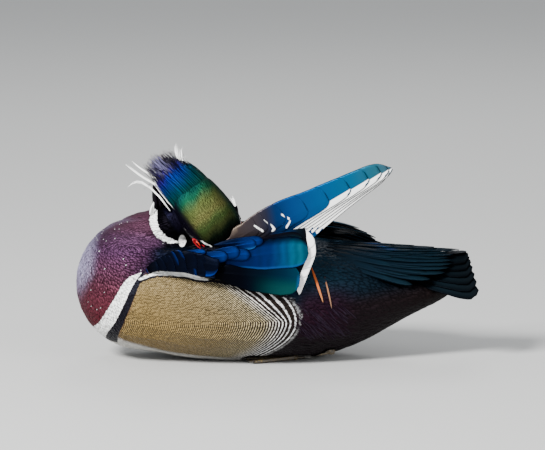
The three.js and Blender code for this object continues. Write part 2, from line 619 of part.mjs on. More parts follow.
node("crest", between(crest(), HEAD_FORWARD, -400, skullAt + NAPE_X), 0x1a1840, 0.45);
node("bill_upper", clearOf(upperBill(), [nostril(LEFT), nostril(RIGHT)]), 0xc9563a, 0.35);
node("bill_lower", lowerBill(), 0x2a1c1a, 0.35);
node("neck", clearOf(neckForm(), [headClear, billClear, bodyClear, crestClear()]), 0x4a2038);

const body = clearOf(floorTrim(bodyForm()), [headClear, billClear, ...feetClear, ...armsClear]);
const lengthwise = V(1, 0, 0);
node("breast", between(body, lengthwise, -300, BREAST_END), 0x4a1c22);
node("torso", between(body, lengthwise, BREAST_END + GAP, RUMP_START), 0xa08a5a);
node("rump", between(body, lengthwise, RUMP_START + GAP, 300), 0x141c24);

const trunk = [headClear, billClear, neckClear, bodyClear];
for (const [side, name] of [[LEFT, "left"], [RIGHT, "right"]]) {
  node(`eye_${name}`, ball(eyeCentre(-side), EYE_RADIUS), 0xa81212, 0.1);
  node(`wing_${name}`, clearOf(armSolid(side, 0), [headClear, billClear, neckClear]), 0x142a55);
  node(`leg_${name}`, clearOf(legForm(side), [bodyClear, footForm(side, GAP)]), 0xb88a3a);
  node(`foot_${name}`, floorTrim(footForm(side)), 0xb88a3a);
}
const limbs = [...trunk, ...armsClear];
node("wing_left_primaries", clearOf(leftPrimaries(), limbs), 0x2c6fb0);
node("wing_left_secondaries", clearOf(leftSecondaries(), limbs), 0x1b4f8f);
node("wing_left_tertials", clearOf(leftTertials(), limbs), 0x174a8a);
node("wing_left_coverts", clearOf(leftCoverts(), limbs), 0x2450a8);
node("scapulars_left", clearOf(leftScapulars(), limbs), 0x10204a);
node("wing_right_primaries", clearOf(rightPrimaries(), limbs), 0x2c6fb0);
node("wing_right_secondaries", clearOf(rightSecondaries(), limbs), 0x1b4f8f);
node("wing_right_tertials", clearOf(rightTertials(), limbs), 0x174a8a);
node("wing_right_coverts", clearOf(rightCoverts(), limbs), 0x2450a8);
node("scapulars_right", clearOf(rightScapulars(), limbs), 0x10204a);
node("tail", clearOf(tail(), [bodyClear]), 0x0d1a1c);
node("tail_coverts", clearOf(tailCoverts(), [bodyClear]), 0x1a1020);

const duck = new THREE.Group();
duck.name = "wood_duck";
duck.add(...nodes);

export default duck;
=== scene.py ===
# %% [markdown]
# # A drake wood duck, preening
# The bird rests on its belly with the neck bent back to its left, the crown turned towards us and the bill
# tucked under the left wing, whose long flight feathers are raised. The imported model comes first: it gives
# every size and place, and all that follows is made in its frame, in metres.

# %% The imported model
import math
import bpy
import numpy as np
from mathutils import Matrix, Vector
from mathutils.bvhtree import BVHTree


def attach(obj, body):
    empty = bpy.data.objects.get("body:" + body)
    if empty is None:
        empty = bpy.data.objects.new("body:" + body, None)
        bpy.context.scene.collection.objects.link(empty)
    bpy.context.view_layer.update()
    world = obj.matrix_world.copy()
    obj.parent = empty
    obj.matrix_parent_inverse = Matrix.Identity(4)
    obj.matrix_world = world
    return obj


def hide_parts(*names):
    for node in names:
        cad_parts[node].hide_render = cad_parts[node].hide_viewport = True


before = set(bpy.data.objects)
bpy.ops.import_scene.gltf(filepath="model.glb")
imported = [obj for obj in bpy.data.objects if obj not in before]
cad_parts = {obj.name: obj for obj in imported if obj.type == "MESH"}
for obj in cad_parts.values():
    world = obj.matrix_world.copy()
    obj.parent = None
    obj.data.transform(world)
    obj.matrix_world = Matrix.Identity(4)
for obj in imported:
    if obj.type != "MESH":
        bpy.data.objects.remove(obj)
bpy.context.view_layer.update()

print("the model holds", len(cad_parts), "nodes")

# %% [markdown]
# ## Camera, floor and light
# The photograph looks at the bird's left side from a little above. A long lens far away keeps the shapes as
# flat as they are there. The floor is a plain pale sheet, and the light is a big soft lamp above on the
# left, two weaker ones on the right and behind, and a pale sky.

# %% The camera
MM = 0.001
EYE_LEVEL = math.radians(8)
LENS, SENSOR_WIDTH = 300.0, 36
IMAGE_WIDTH, MM_PER_PIXEL = 545, 0.94
target = Vector((-3.3, 0, 124.6)) * MM
distance = LENS / SENSOR_WIDTH * IMAGE_WIDTH * MM_PER_PIXEL * MM
lens = bpy.data.cameras.new("camera")
lens.lens, lens.sensor_width = LENS, SENSOR_WIDTH
lens.clip_start, lens.clip_end = 0.1, 60
camera = bpy.data.objects.new("camera", lens)
back = Vector((0, -math.cos(EYE_LEVEL), math.sin(EYE_LEVEL)))
camera.location = target + back * distance
camera.rotation_mode = "QUATERNION"
camera.rotation_quaternion = back.to_track_quat("Z", "Y")
bpy.context.scene.collection.objects.link(camera)
bpy.context.scene.camera = camera
print(f"the camera stands {distance:.2f} m away")


# %% Floor, lamps and sky
def plain(name, colour, roughness):
    material = bpy.data.materials.new(name)
    material.use_nodes = True
    shader = material.node_tree.nodes["Principled BSDF"]
    shader.inputs["Base Color"].default_value = (*colour, 1)
    shader.inputs["Roughness"].default_value = roughness
    return material


FLOOR_SIZE, FLOOR_DROP = 30, 0.0002
bpy.ops.object.select_all(action="DESELECT")
bpy.ops.mesh.primitive_plane_add(size=FLOOR_SIZE, location=(0, 0, -FLOOR_DROP))
floor = bpy.context.object
floor.name = "floor"
floor.data.materials.append(plain("pale floor", (0.40, 0.40, 0.39), 0.7))


def lamp(name, place, size, power, colour=(1, 1, 1)):
    light = bpy.data.lights.new(name, "AREA")
    light.shape, light.size, light.energy, light.color = "DISK", size, power, colour
    body = bpy.data.objects.new(name, light)
    body.location = place
    body.rotation_mode = "QUATERNION"
    body.rotation_quaternion = (Vector(place) - target).to_track_quat("Z", "Y")
    bpy.context.scene.collection.objects.link(body)


lamp("main lamp", (-1.6, -2.0, 2.0), 0.9, 337)
lamp("side lamp", (1.9, -1.6, 1.1), 1.6, 33)
lamp("rear lamp", (0.2, 2.2, 1.8), 1.0, 18)
sky = bpy.data.worlds.new("sky")
sky.use_nodes = True
sky.node_tree.nodes["Background"].inputs["Color"].default_value = (0.86, 0.89, 0.93, 1)
sky.node_tree.nodes["Background"].inputs["Strength"].default_value = 0.82
bpy.context.scene.world = sky
print("one strong and two weak lamps light a floor of", FLOOR_SIZE, "m")

# %% [markdown]
# ## The bird's own measures
# Feathers have to lie on the same forms as the solids: a body with rounded sections, a head with its own
# frame, and a bent neck. Measuring each place on the solids would be slow, so a few named stations and one
# smooth curve through them say it all again, in millimetres.


# %% Curves through stations
def through(*stations):
    """A smooth curve through stations (place, value), flat where neighbours turn."""
    x, v = np.array(stations, float).T
    step = np.diff(v) / np.diff(x)
    slope = np.zeros(len(x))
    same = step[:-1] * step[1:] > 0
    total = np.where(same, step[:-1] + step[1:], 1)
    slope[1:-1] = np.where(same, 2 * step[:-1] * step[1:] / total, 0)

    def at(place):
        q = np.clip(place, x[0], x[-1])
        i = np.clip(np.searchsorted(x, q) - 1, 0, len(x) - 2)
        d = x[i + 1] - x[i]
        s = (q - x[i]) / d
        return (v[i] * (1 + 2 * s) * (1 - s) ** 2 + slope[i] * d * s * (1 - s) ** 2
                + v[i + 1] * s * s * (3 - 2 * s) + slope[i + 1] * d * s * s * (s - 1))
    return at


def ease(value, low, high):
    """0 below low, 1 above high, and smooth between; low may be the larger."""
    t = np.clip((value - low) / (high - low), 0, 1)
    return t * t * (3 - 2 * t)


def unit(v):
    return v / np.maximum(np.linalg.norm(v, axis=-1, keepdims=True), 1e-9)


# %% The body's sections
BREAST_X, BREAST_ROUND, VENT_X, VENT_ROUND = -188, 63, 168, 26
FULLNESS = 2.2
body_top = through((-125, 133), (-95, 127), (-60, 117), (-20, 114), (20, 114), (55, 109), (85, 99),
                   (100, 90), (112, 81), (130, 76), (150, 72), (168, 69))
body_bottom = through((-125, 7), (-95, 1), (-60, -3), (-20, -4), (20, -3), (55, 5), (85, 17), (110, 31),
                      (130, 42), (150, 51), (168, 57))
body_widest = through((-125, 70), (-60, 58), (20, 56), (85, 62), (130, 63), (168, 64))
body_half_width = through((-125, 62), (-95, 66), (-60, 68), (-20, 69), (20, 67), (55, 60), (85, 50),
                          (110, 40), (130, 32), (150, 25), (168, 19))


def body_at(x, angle, off):
    """A point of the body at x and an angle (0 is its right side, 90 degrees its back), off its skin."""
    front = np.clip((BREAST_X + BREAST_ROUND - x) / BREAST_ROUND, 0, 1)
    rear = np.clip((x - VENT_X + VENT_ROUND) / VENT_ROUND, 0, 1)
    k = np.sqrt(1 - front ** 2) * np.sqrt(1 - rear ** 2) + 1e-6
    middle = body_widest(x)
    w = body_half_width(x) * k
    c, s = np.cos(angle), np.sin(angle)
    h = np.where(s > 0, body_top(x) - middle, middle - body_bottom(x)) * k
    y = w * np.sign(c) * np.abs(c) ** (2 / FULLNESS)
    z = h * np.sign(s) * np.abs(s) ** (2 / FULLNESS)
    out = np.stack([0 * x, np.sign(y) * np.abs(y / w) ** (FULLNESS - 1) / w,
                    np.sign(z) * np.abs(z / h) ** (FULLNESS - 1) / h], -1)
    return np.stack([x, y, middle + z], -1) + unit(out) * np.asarray(off)[..., None]


def back_sheet(x, b, off):
    """The back as a sheet: b runs round it from its middle to the bird's right."""
    return body_at(x, math.pi / 2 - b / body_half_width(x), off)


print("the body is", VENT_X - BREAST_X, "mm long and", 2 * float(body_half_width(-20)), "mm wide")

# %% The sheets on which the wings' feathers lie
wing_face = through((-130, -52), (-110, -64), (-85, -72), (-20, -74.5), (40, -73))
WING_LEAN, WING_MIDDLE = 0.09, 95
BLADE_Y = -55


def lifted_sheet(x, z, off):
    return np.stack([x, wing_face(x) + WING_LEAN * (z - WING_MIDDLE) - off, z], -1)


def blade_sheet(x, z, off):
    return np.stack([x, BLADE_Y - off, z], -1)


print("the lifted wing's face stands", -float(wing_face(-20)), "mm left of the bird's middle")

# %% The head's frame
HEAD_CENTRE = np.array([-63, -45, 139.0])
forward = unit(np.array([0.598, -0.226, -0.77]))
crown_up = np.array([0.181, -0.897, 0.404])
crown_up = unit(crown_up - forward * (crown_up @ forward))
head_axes = np.array([forward, np.cross(crown_up, forward), crown_up])


def in_head(local):
    """From the head's own frame (bill, left, crown) to the bird's."""
    return HEAD_CENTRE + np.asarray(local, float) @ head_axes


def from_head(points):
    return (points - HEAD_CENTRE) @ head_axes.T


print("the head's centre is at", HEAD_CENTRE, "and it looks along", forward.round(2))


# %% The neck's path
def smooth_path(points, u):
    """Points on a smooth path through the given ones, at u from 0 to 1."""
    p = np.array(points, float)
    p = np.vstack([2 * p[0] - p[1], p, 2 * p[-1] - p[-2]])
    place = np.clip(u, 0, 1) * (len(points) - 1)
    i = np.minimum(place.astype(int), len(points) - 2)
    w = (place - i)[:, None]
    gap = np.linalg.norm(np.diff(p, axis=0), axis=1) ** 0.5
    d0, d1, d2 = gap[i][:, None], gap[i + 1][:, None], gap[i + 2][:, None]
    p0, p1, p2, p3 = p[i], p[i + 1], p[i + 2], p[i + 3]
    t1 = ((p1 - p0) / d0 - (p2 - p0) / (d0 + d1) + (p2 - p1) / d1) * d1
    t2 = ((p2 - p1) / d1 - (p3 - p1) / (d1 + d2) + (p3 - p2) / d2) * d1
    return (p1 + t1 * w + (3 * p2 - 3 * p1 - 2 * t1 - t2) * w ** 2
            + (2 * p1 - 2 * p2 + t1 + t2) * w ** 3)


NECK_STEPS, NECK_LENGTH = np.linspace(0, 1, 101), 75
neck_line = smooth_path([(-126, 2, 62), (-127, 1, 90), (-119, -10, 113), (-102, -24, 130), (-80, -34, 138)],
                        NECK_STEPS)
neck_way = unit(np.gradient(neck_line, axis=0))
neck_side = unit(np.cross(neck_way, (0.2, -0.9, 0.3)))
neck_front = np.cross(neck_side, neck_way)
neck_radius = through((0, 54), (0.25, 43), (0.5, 32), (0.75, 24), (1, 21))


def on_neck(points):
    """How far along the neck points lie (0 to 1), at what angle round it, and how far out in radii."""
    away = points[:, None] - neck_line[None]
    near = np.argmin((away ** 2).sum(-1), 1)
    v = away[np.arange(len(points)), near]
    u = NECK_STEPS[near]
    along = (v * neck_way[near]).sum(-1) / NECK_LENGTH
    side, front = (v * neck_side[near]).sum(-1), (v * neck_front[near]).sum(-1)
    return np.clip(u + along, -1, 2), np.arctan2(front, side), np.hypot(side, front) / neck_radius(u)


print("the neck narrows from", float(neck_radius(0)), "to", float(neck_radius(1)), "mm in radius")

# %% [markdown]
# ## Building many feathers at once
# Every feather here is a thin closed strip: rows of points from root to tip, each row a ring that goes over
# the upper face from one edge to the other and back underneath. One such strip could be drawn out of a
# plane by extruding and then copied, but no two feathers of a bird are alike. So thousands of them are
# built as one mesh from arrays of numbers.


# %% Rings of points into one mesh
def join_rings(name, rings, marks, unwrap):
    """A mesh of closed strips from rings (feather, row, round, xyz) in mm, with marks at each point."""
    count, rows, around, _ = rings.shape
    base = (np.arange(count) * rows * around)[:, None, None]
    i = (np.arange(rows - 1) * around)[None, :, None]
    j = np.arange(around)[None, None]
    k = (np.arange(around) + 1) % around
    quads = np.stack([base + i + j, base + i + around + j, base + i + around + k, base + i + k], -1)
    root = base[:, 0] + np.arange(around)
    tip = base[:, 0] + (rows - 1) * around + np.arange(around)[::-1]
    corners = np.concatenate([quads.reshape(-1), root.reshape(-1), tip.reshape(-1)]).astype(np.int32)
    sizes = np.concatenate([np.full(quads.size // 4, 4), np.full(2 * count, around)])
    starts = np.concatenate([[0], np.cumsum(sizes)[:-1]]).astype(np.int32)
    mesh = bpy.data.meshes.new(name)
    mesh.vertices.add(count * rows * around)
    mesh.vertices.foreach_set("co", (rings * MM).astype(np.float32).reshape(-1))
    mesh.loops.add(len(corners))
    mesh.loops.foreach_set("vertex_index", corners)
    mesh.polygons.add(len(sizes))
    mesh.polygons.foreach_set("loop_start", starts)
    mesh.update(calc_edges=True)
    over_top = np.arange(around) < around // 2
    smooth = np.concatenate([np.tile(over_top, count * (rows - 1)), np.zeros(2 * count, bool)])
    mesh.polygons.foreach_set("use_smooth", smooth)
    write_marks(mesh, marks, rings.shape[:3])
    chart = mesh.uv_layers.new(name="OFBake")
    flat = np.broadcast_to(unwrap, (count, rows, around, 2)).reshape(-1, 2)
    chart.data.foreach_set("uv", flat[corners].astype(np.float32).reshape(-1))
    piece = bpy.data.objects.new(name, mesh)
    bpy.context.scene.collection.objects.link(piece)
    return piece


# %% Marks at every point
def write_marks(mesh, marks, shape):
    """Writes marks, each of one number or three, at every point."""
    for name, value in marks.items():
        value = np.asarray(value, float)
        wide = value.shape[-1] if value.ndim == len(shape) + 1 else 1
        flat = np.broadcast_to(value.reshape(*value.shape[:len(shape)], wide), (*shape, wide))
        kind = {1: "FLOAT", 3: "FLOAT_VECTOR"}[wide]
        layer = mesh.attributes.new(name, kind, "POINT")
        layer.data.foreach_set("value" if wide == 1 else "vector", flat.astype(np.float32).reshape(-1))


# %% [markdown]
# ## One skin
# Head, neck, breast, body and the stumps of the wings are separate solids, with seams where they meet. On
# the bird one skin runs over them all. Joining them edge by edge would be slow, so a remesh modifier wraps
# one closed surface round their copies, and a smooth modifier takes its small steps away. The skin is then
# sunk by the depth of the coat, so that the tips of the feathers end where the solids do.

# %% One skin over the flesh
FLESH = ["head", "neck", "breast", "torso", "rump", "wing_left", "wing_right"]
VOXEL = 1.6
SAME_POINT, SWELL = 0.00001, 0.0004
bpy.ops.object.select_all(action="DESELECT")
for name in FLESH:
    form = bpy.data.objects.new("flesh_" + name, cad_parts[name].data.copy())
    bpy.context.scene.collection.objects.link(form)
    form.select_set(True)
    bpy.context.view_layer.objects.active = form
bpy.ops.object.mode_set(mode="EDIT")
bpy.ops.mesh.select_all(action="SELECT")
bpy.ops.mesh.remove_doubles(threshold=SAME_POINT)
bpy.ops.transform.shrink_fatten(value=SWELL)
bpy.ops.object.mode_set(mode="OBJECT")
bpy.ops.object.join()
skin = bpy.context.object
skin.name = "skin"
remesh = skin.modifiers.new("one skin", "REMESH")
remesh.mode, remesh.voxel_size = "VOXEL", VOXEL * MM
bpy.ops.object.modifier_apply(modifier=remesh.name)
smooth = skin.modifiers.new("soften", "SMOOTH")
smooth.factor, smooth.iterations = 0.5, 6
bpy.ops.object.modifier_apply(modifier=smooth.name)
skin.data.polygons.foreach_set("use_smooth", np.ones(len(skin.data.polygons), bool))
skin.data.materials.clear()
print("the skin has", len(skin.data.polygons), "faces")


# %% Points, normals and faces of a mesh, in mm
def read_points(mesh):
    points = np.empty(len(mesh.vertices) * 3, np.float32)
    mesh.vertices.foreach_get("co", points)
    normals = np.empty(len(mesh.vertices) * 3, np.float32)
    mesh.vertex_normals.foreach_get("vector", normals)
    return points.reshape(-1, 3) / MM, normals.reshape(-1, 3)


def to_skull(points):
    """How far places are from the middle of the skull."""
    return np.linalg.norm(from_head(points) + (9, 0, 0), axis=1)


COAT_DEPTH, HEAD_THINNER = 0.75, 0.2


def coat_depth(points):
    """How deep the skin lies under the tips of the feathers, which are shorter on the head."""
    return COAT_DEPTH - HEAD_THINNER * ease(to_skull(points), 60, 45)


# %% Sinking the skin, most of all at the hollow of the nape
nape_hollow = through((-155, 0), (-146, 1.5), (-131, 4.5), (-120, 7), (-112, 6), (-104, 2), (-97, 0))
points, normals = read_points(skin.data)
skin_points = points - normals * coat_depth(points)[:, None]
skin_points[:, 2] -= nape_hollow(points[:, 0]) * ease(points[:, 2], 116, 143)
skin.data.vertices.foreach_set("co", (skin_points * MM).astype(np.float32).reshape(-1))
skin.data.update()
skin.data.calc_loop_triangles()
corners = np.empty(len(skin.data.loop_triangles) * 3, np.int32)
skin.data.loop_triangles.foreach_get("vertices", corners)
skin_faces = corners.reshape(-1, 3)
skin_points, skin_normals = read_points(skin.data)
skin_tree = BVHTree.FromPolygons(skin_points.tolist(), skin_faces.tolist())
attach(skin, "root")
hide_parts(*FLESH)
print("the skin lies", COAT_DEPTH, "mm deep on the body and up to 7 mm deeper at the nape")

# %% [markdown]
# ## Colours and marks of the plumage
# A wood duck drake wears green, blue and violet on the crown, a maroon breast, a white and a black bar at
# the shoulder, and golden flanks with fine dark lines. A painted image would blur at the edges, so each
# mark is a function of the place on the bird, and the skin and every feather over it carry the same
# pattern. Signed distances in millimetres mark the sharp edges, and the material cuts them.


# %% Colours by name
DAYLIGHT = 1.5


def ink(code):
    """A colour from its common hexadecimal name, as light. The lamps are strong, so that white feathers
    come out white, and every other colour is made darker by as much."""
    srgb = np.array([int(code[k:k + 2], 16) for k in (0, 2, 4)]) / 255
    return np.where(srgb < 0.04045, srgb / 12.92, ((srgb + 0.055) / 1.055) ** 2.4) / DAYLIGHT


def blend(a, b, share):
    return a + (b - a) * np.asarray(share)[..., None]


def ramp(value, *stops):
    """A colour along stops (value, colour name)."""
    places = [place for place, _ in stops]
    shades = np.array([ink(code) for _, code in stops])
    return np.stack([np.interp(value, places, shades[:, k]) for k in range(3)], -1)


# %% The lines of the side
bar_left = through((20, -177), (41, -163.4), (61.4, -151.3), (83.9, -136.4), (89.7, -124.4))
bar_right = through((20, -160), (41, -149.4), (56.8, -142), (73.5, -134.6), (85.9, -126.6), (92, -122))
bar_black = through((20, -148), (42.9, -140.6), (52.2, -136.9), (72.9, -128.6), (83.2, -124.3), (92, -120))
BAR_FOOT, BAR_TOP = 18, 90
flank_top = through((-127.3, 83.4), (-117, 88), (-107.2, 90.5), (-88, 90), (-73.5, 86), (-58.4, 82),
                    (-20, 76), (40, 60))
trim_width = through((-128, 1.8), (-118, 3.2), (-92, 4.4), (-78, 3.8), (-66, 2), (-56, -1))
TRIM_NOTCHES = (-118, -109, -89.5)
belly_edge = through((-160, 28), (-135, 20), (-100, 10), (-50, 5), (0, 3), (60, 3))
print("the shoulder's bars run from", BAR_FOOT, "to", BAR_TOP, "mm above the floor")

# %% The nested bars at the rear of the flank
arc_lean = through((-40, 1.1), (1.4, 1.05), (19, 0), (40, -0.3))
arc_bulge = through((-40, 0.004), (1.4, 0.007), (19, 0.021), (40, 0.03))
arc_step = through((-120, 1.8), (-60, 1.9), (-20, 2.3), (0, 2.9), (10, 3.6), (19, 5.4), (40, 5.4))
ARC_REAR, ARC_LOW, ARC_FIRST = 19, 44, 0.26
ARC_PLACES = np.linspace(-160, 60, 881)
ARC_COUNT = np.cumsum((ARC_PLACES[1] - ARC_PLACES[0]) / arc_step(ARC_PLACES))
ARC_COUNT = ARC_COUNT - np.interp(ARC_REAR, ARC_PLACES, ARC_COUNT) + ARC_FIRST


def arc_place(x, z):
    """Where along the flank the nested bars cross a place: they bulge towards the tail."""
    rise = z - ARC_LOW
    low, high = x - 20.0, x + 75.0
    for _ in range(14):
        middle = (low + high) / 2
        there = middle - np.where(rise > 0, arc_lean(middle) * rise + arc_bulge(middle) * rise ** 2,
                                  0.025 * rise ** 2)
        low, high = np.where(there < x, middle, low), np.where(there < x, high, middle)
    return (low + high) / 2


print("about", round(ARC_COUNT[-1] - ARC_COUNT[0]), "bars would fit along the flank")

# %% The shoulder's outline, and the breast's foremost line
shoulder_low = through((-128, 83.5), (-118, 87.5), (-107, 91.5), (-88, 91.5), (-70, 88), (-54, 86.5))
shoulder_high = through((-128, 86), (-114.7, 98), (-101, 107.4), (-92, 111.5), (-80, 110.5), (-66, 108),
                        (-54, 104))
breast_front = through((50, -189), (66, -188.6), (84, -187.7), (101.6, -184.8), (115.2, -178), (124, -164.7),
                       (130, -147), (137, -120))


# %% Head, neck or body
def zones(points):
    """Places in the head's frame, how far each is the head's, its place on the neck, and the neck's share."""
    x, _, z = points.T
    local = from_head(points)
    hx, hy, hz = local.T
    egg = np.sqrt(((hx + 9) / 50) ** 2 + (hy / 29) ** 2 + (hz / 27) ** 2)
    u, angle, reach = np.full(len(x), -1.0), np.zeros(len(x)), np.full(len(x), 9.0)
    near = np.flatnonzero((x < -60) & (z > 40))
    for part in np.array_split(near, max(1, len(near) // 20000)):
        u[part], angle[part], reach[part] = on_neck(points[part])
    on_head = ease(egg, 1.16, 1.02)
    neck = ease(reach, 1.5, 1.2) * ease(u, 0.25, 0.5) * (1 - on_head)
    return local, on_head, u, angle, neck, reach


# %% The crown, from the bill back over the crest, and the white stripe along its edge
def crown_colour_and_sheen(x, y):
    """The crown's colours in soft patches, a little further back on its far side; the olive-gold middle is a
    painted sheen.
    """
    x = x + 0.12 * y + 1.2 * np.sin(0.35 * y + 0.3 * x)
    crown = ramp(x, (-66, "0a0712"), (-61, "140c30"), (-58, "2e1e6c"), (-54, "10186c"), (-47, "05216c"),
                 (-41, "04315e"), (-36, "043c46"), (-28, "043a34"), (-21, "10442e"), (-12, "424c26"),
                 (0, "4e4e2a"), (8, "324220"), (14, "30361a"), (20, "0c150c"), (26, "050805"), (40, "030403"))
    crown = blend(crown, ink("043a30"), ease(y, 1, 13) * ease(x, -57, -49) * ease(x, -24, -34) * 0.75)
    return blend(crown, ink("082c26"), ease(y, 13, 21) * ease(x, -50, -40) * 0.8)


brow = through((-60, 0), (-30, 1.5), (-14, 0.5), (-3, -2.6), (4, -1.8), (9, 1.2), (17, 7.3), (23, 7.2),
               (30, 5.8))
brow_half = through((-60, 1.4), (-34, 1.2), (-26, 0.2), (-20, -0.5), (-8, -0.4), (-2, 0.1), (9, 0.1),
                    (14, 0.2), (18, 0.7), (24, 0.6), (28, -0.5))


def brow_stripe(hx, hz):
    """How far inside the white stripe between crown and cheek a place on the head lies."""
    return brow_half(hx) - np.abs(hz - brow(hx)) * 0.8


# %% Colours of breast and back
def breast_colour(x, z):
    breast = ramp(z, (30, "64242c"), (56, "68303c"), (78, "4c2836"), (105, "422740"), (118, "462c42"),
                  (126, "523244"), (140, "523040"))
    return blend(breast, ink("26182c"), ease(shoulder_high(x) - z, -18, -3) * ease(x, -150, -115) * 0.85)


def back_colour(x, z):
    back = ramp(x, (-110, "0a0c1c"), (-40, "0e1c2a"), (15, "142a38"), (60, "10222e"), (90, "0c1a24"),
                (150, "080b0e"))
    under_tail = ramp(x, (30, "1a1216"), (90, "20171a"), (160, "1a1210"))
    back = blend(back, under_tail, ease(z - 0.12 * (x - 20), 66, 48))
    side_rump = ease(x, 12, 30) * ease(x, 84, 50) * ease(z, 20, 36) * ease(z, 82, 60)
    return blend(back, ink("2a1422"), side_rump * 0.85)


# %% The edge of the flank
OUTSIDE = -9


def flank_inside(x, z, arc):
    """How far inside the golden patch of the flank a place lies."""
    inside = np.minimum.reduce([flank_top(x) - z, z - belly_edge(x), (ARC_REAR + 3 - arc) * 0.7,
                                x - bar_black(z)])
    return np.where(x < -150, OUTSIDE, inside)


# %% Edges of the bars at the shoulder
def side_bars(x, z):
    """How far inside the white and the black bars of shoulder and flank a place lies, with a painted shadow
    under the lifted wing.
    """
    white = np.minimum.reduce([x - bar_left(z), bar_right(z) - x, BAR_TOP - z, z - BAR_FOOT])
    black = np.minimum.reduce([x - bar_right(z), bar_black(z) - x, BAR_TOP - z, z - BAR_FOOT])
    trim = flank_top(x) - z
    along = (x > -127) & (x < 20)
    wide = trim_width(x)
    notch = np.maximum.reduce([1.7 - 0.9 * np.abs(x - place) for place in TRIM_NOTCHES] + [0 * x])
    trim_white = np.minimum(trim - notch, wide - trim)
    # Behind the white trim the black strip goes on under the lifted wing as painted shadow.
    black_trim_and_shadow = np.minimum(trim - wide, np.maximum(wide, 0) + 1.8 - trim)
    return (np.maximum(white, np.where(along, trim_white, OUTSIDE)),
            np.maximum(black, np.where(along, black_trim_and_shadow, OUTSIDE)))


# %% The white crescent round the throat
CRESCENT_MIDDLE, CRESCENT_END = 20, 146
CRESCENT = [0, 7, 31, 45, 60, 105, 128, CRESCENT_END]
CRESCENT_OUTER = [0.872, 0.824, 0.752, 0.735, 0.728, 0.728, 0.744, 0.774]
CRESCENT_INNER = [0.872, 0.85, 0.802, 0.792, 0.786, 0.784, 0.780, 0.774]


def crescent_inside(u, angle, reach, neck):
    """How far inside the white crescent round the throat a place on the neck lies."""
    throat = (angle - math.radians(CRESCENT_MIDDLE) + math.pi) % (2 * math.pi) - math.pi
    throat = np.abs(throat) * 180 / math.pi
    outer = np.interp(throat, CRESCENT, CRESCENT_OUTER)
    inner = np.interp(throat, CRESCENT, CRESCENT_INNER)
    inside = np.minimum((u - outer), (inner - u)) * NECK_LENGTH
    return np.where((neck > 0.3) & (reach < 1.16) & (throat < CRESCENT_END), inside, OUTSIDE)


# %% Colours and white marks of the head
def head_colour(hx, hy, hz):
    cheek = ramp(hx, (-50, "1a1238"), (-20, "100e1c"), (10, "120c1a"), (33, "0c0c10"))
    return blend(cheek, crown_colour_and_sheen(hx, hy), ease(hz, 4, 13) * ease(np.abs(hy), 24, 19))


def head_white(points, local, on_head):
    """How far inside the spot behind the eye, the white chin or the white stripe a place lies."""
    x, y, z = points.T
    hx, hy, hz = local.T
    near = np.sqrt(((x + 87.4) / 3.4) ** 2 + ((0.99 * z + 0.139 * y - 108.5) / 5.8) ** 2)
    spot = np.where((y < -30) & (z < 128) & (x > -95), (1 - near) * 4.5, OUTSIDE)
    other = np.sqrt(((hx - 2) / 4) ** 2 + ((hz + 17.5) / 6) ** 2)
    spot = np.maximum(spot, np.where(hy > 18, (1 - other) * 4.5, OUTSIDE))
    chin = np.minimum(11 - np.abs(hy), np.minimum(-14 - hz, hx + 6))
    chin = np.where(on_head > 0.4, chin, OUTSIDE)
    stripe = np.where((on_head > 0.4) & (np.abs(hy) > 12), brow_stripe(hx, hz), OUTSIDE)
    return np.maximum.reduce([spot, chin, stripe])


# %% Every place on the bird
BAR_SHARES = ([-110, -60, -10, 10, 19], [0.62, 0.52, 0.38, 0.28, 0.26])


def plumage(points):
    """The marks of the plumage at places on the bird (mm)."""
    x, _, z = points.T
    local, on_head, u, angle, neck, reach = zones(points)
    arc = arc_place(x, z)
    flank = flank_inside(x, z, arc)
    breast = breast_colour(x, z)
    gold = ramp(arc, (-110, "a68b56"), (-45, "ae9768"), (-10, "c4b48a"), (3, "f4f0e6"), (9, "ffffff"))
    front = ease(x - bar_left(np.minimum(z, 89)), 2, -2) * ease(z, 150, 120)
    under = ease(belly_edge(x) - z, -2, 3) * ease(x, 60, 30) * ease(x, -168, -150)
    tint = blend(back_colour(x, z), breast, np.maximum(front, ease(x, -108, -122)))
    tint = blend(tint, gold, ease(flank, -1, 1))
    tint = blend(tint, ink("e9e6df"), under)
    tint = blend(tint, blend(breast, ink("09070c"), ease(u, 0.70, 0.78)), neck)
    tint = blend(tint, head_colour(*local.T), on_head)
    white, black = side_bars(x, z)
    white = np.maximum.reduce([white, crescent_inside(u, angle, reach, neck),
                               head_white(points, local, on_head)])
    gloss = 0.5 + 0.25 * on_head + 0.4 * neck * ease(u, 0.74, 0.78) * (1 - on_head)
    gloss = gloss * (1 - ease(flank, -1, 1)) * (1 - under)
    bar = [np.interp(arc, ARC_PLACES, ARC_COUNT), np.interp(arc, *BAR_SHARES), ease(flank, -0.4, 0.4)]
    return {"tint": tint, "gloss": gloss, "white_in": white, "black_in": black, "bar": np.stack(bar, -1)}


marks = plumage(skin_points)
marks["web"] = np.zeros((len(skin_points), 3))
write_marks(skin.data, marks, skin_points.shape[:1])
print("breast, flank and crown are marked on the skin")

# %% [markdown]
# ## The coat
# Contour feathers overlap like shingles, each one rising a little from its root to its tip, so the next one
# back disappears under it. Hair or a particle system would spread them too, but not at a size that changes
# from place to place. So their roots are spread evenly by throwing darts: a place is kept only if no other
# lies too near. The feathers are smallest on the face and grow towards the rump.


# %% Which way the feathers lie
def lie(points, normals):
    """The way from root to tip: back over the head, down the neck, and towards the tail on the body."""
    x = points[:, 0]
    _, on_head, u, _, neck, _ = zones(points)
    way = np.stack([np.ones_like(x), 0 * x, -0.12 - 0.9 * ease(x, -110, -170)], -1)
    place = np.clip((u * 100).astype(int), 0, 100)
    way = blend(way, -neck_way[place], neck)
    way = blend(way, np.broadcast_to(-forward, way.shape), on_head)
    way = way - normals * (way * normals).sum(-1, keepdims=True)
    return unit(way)


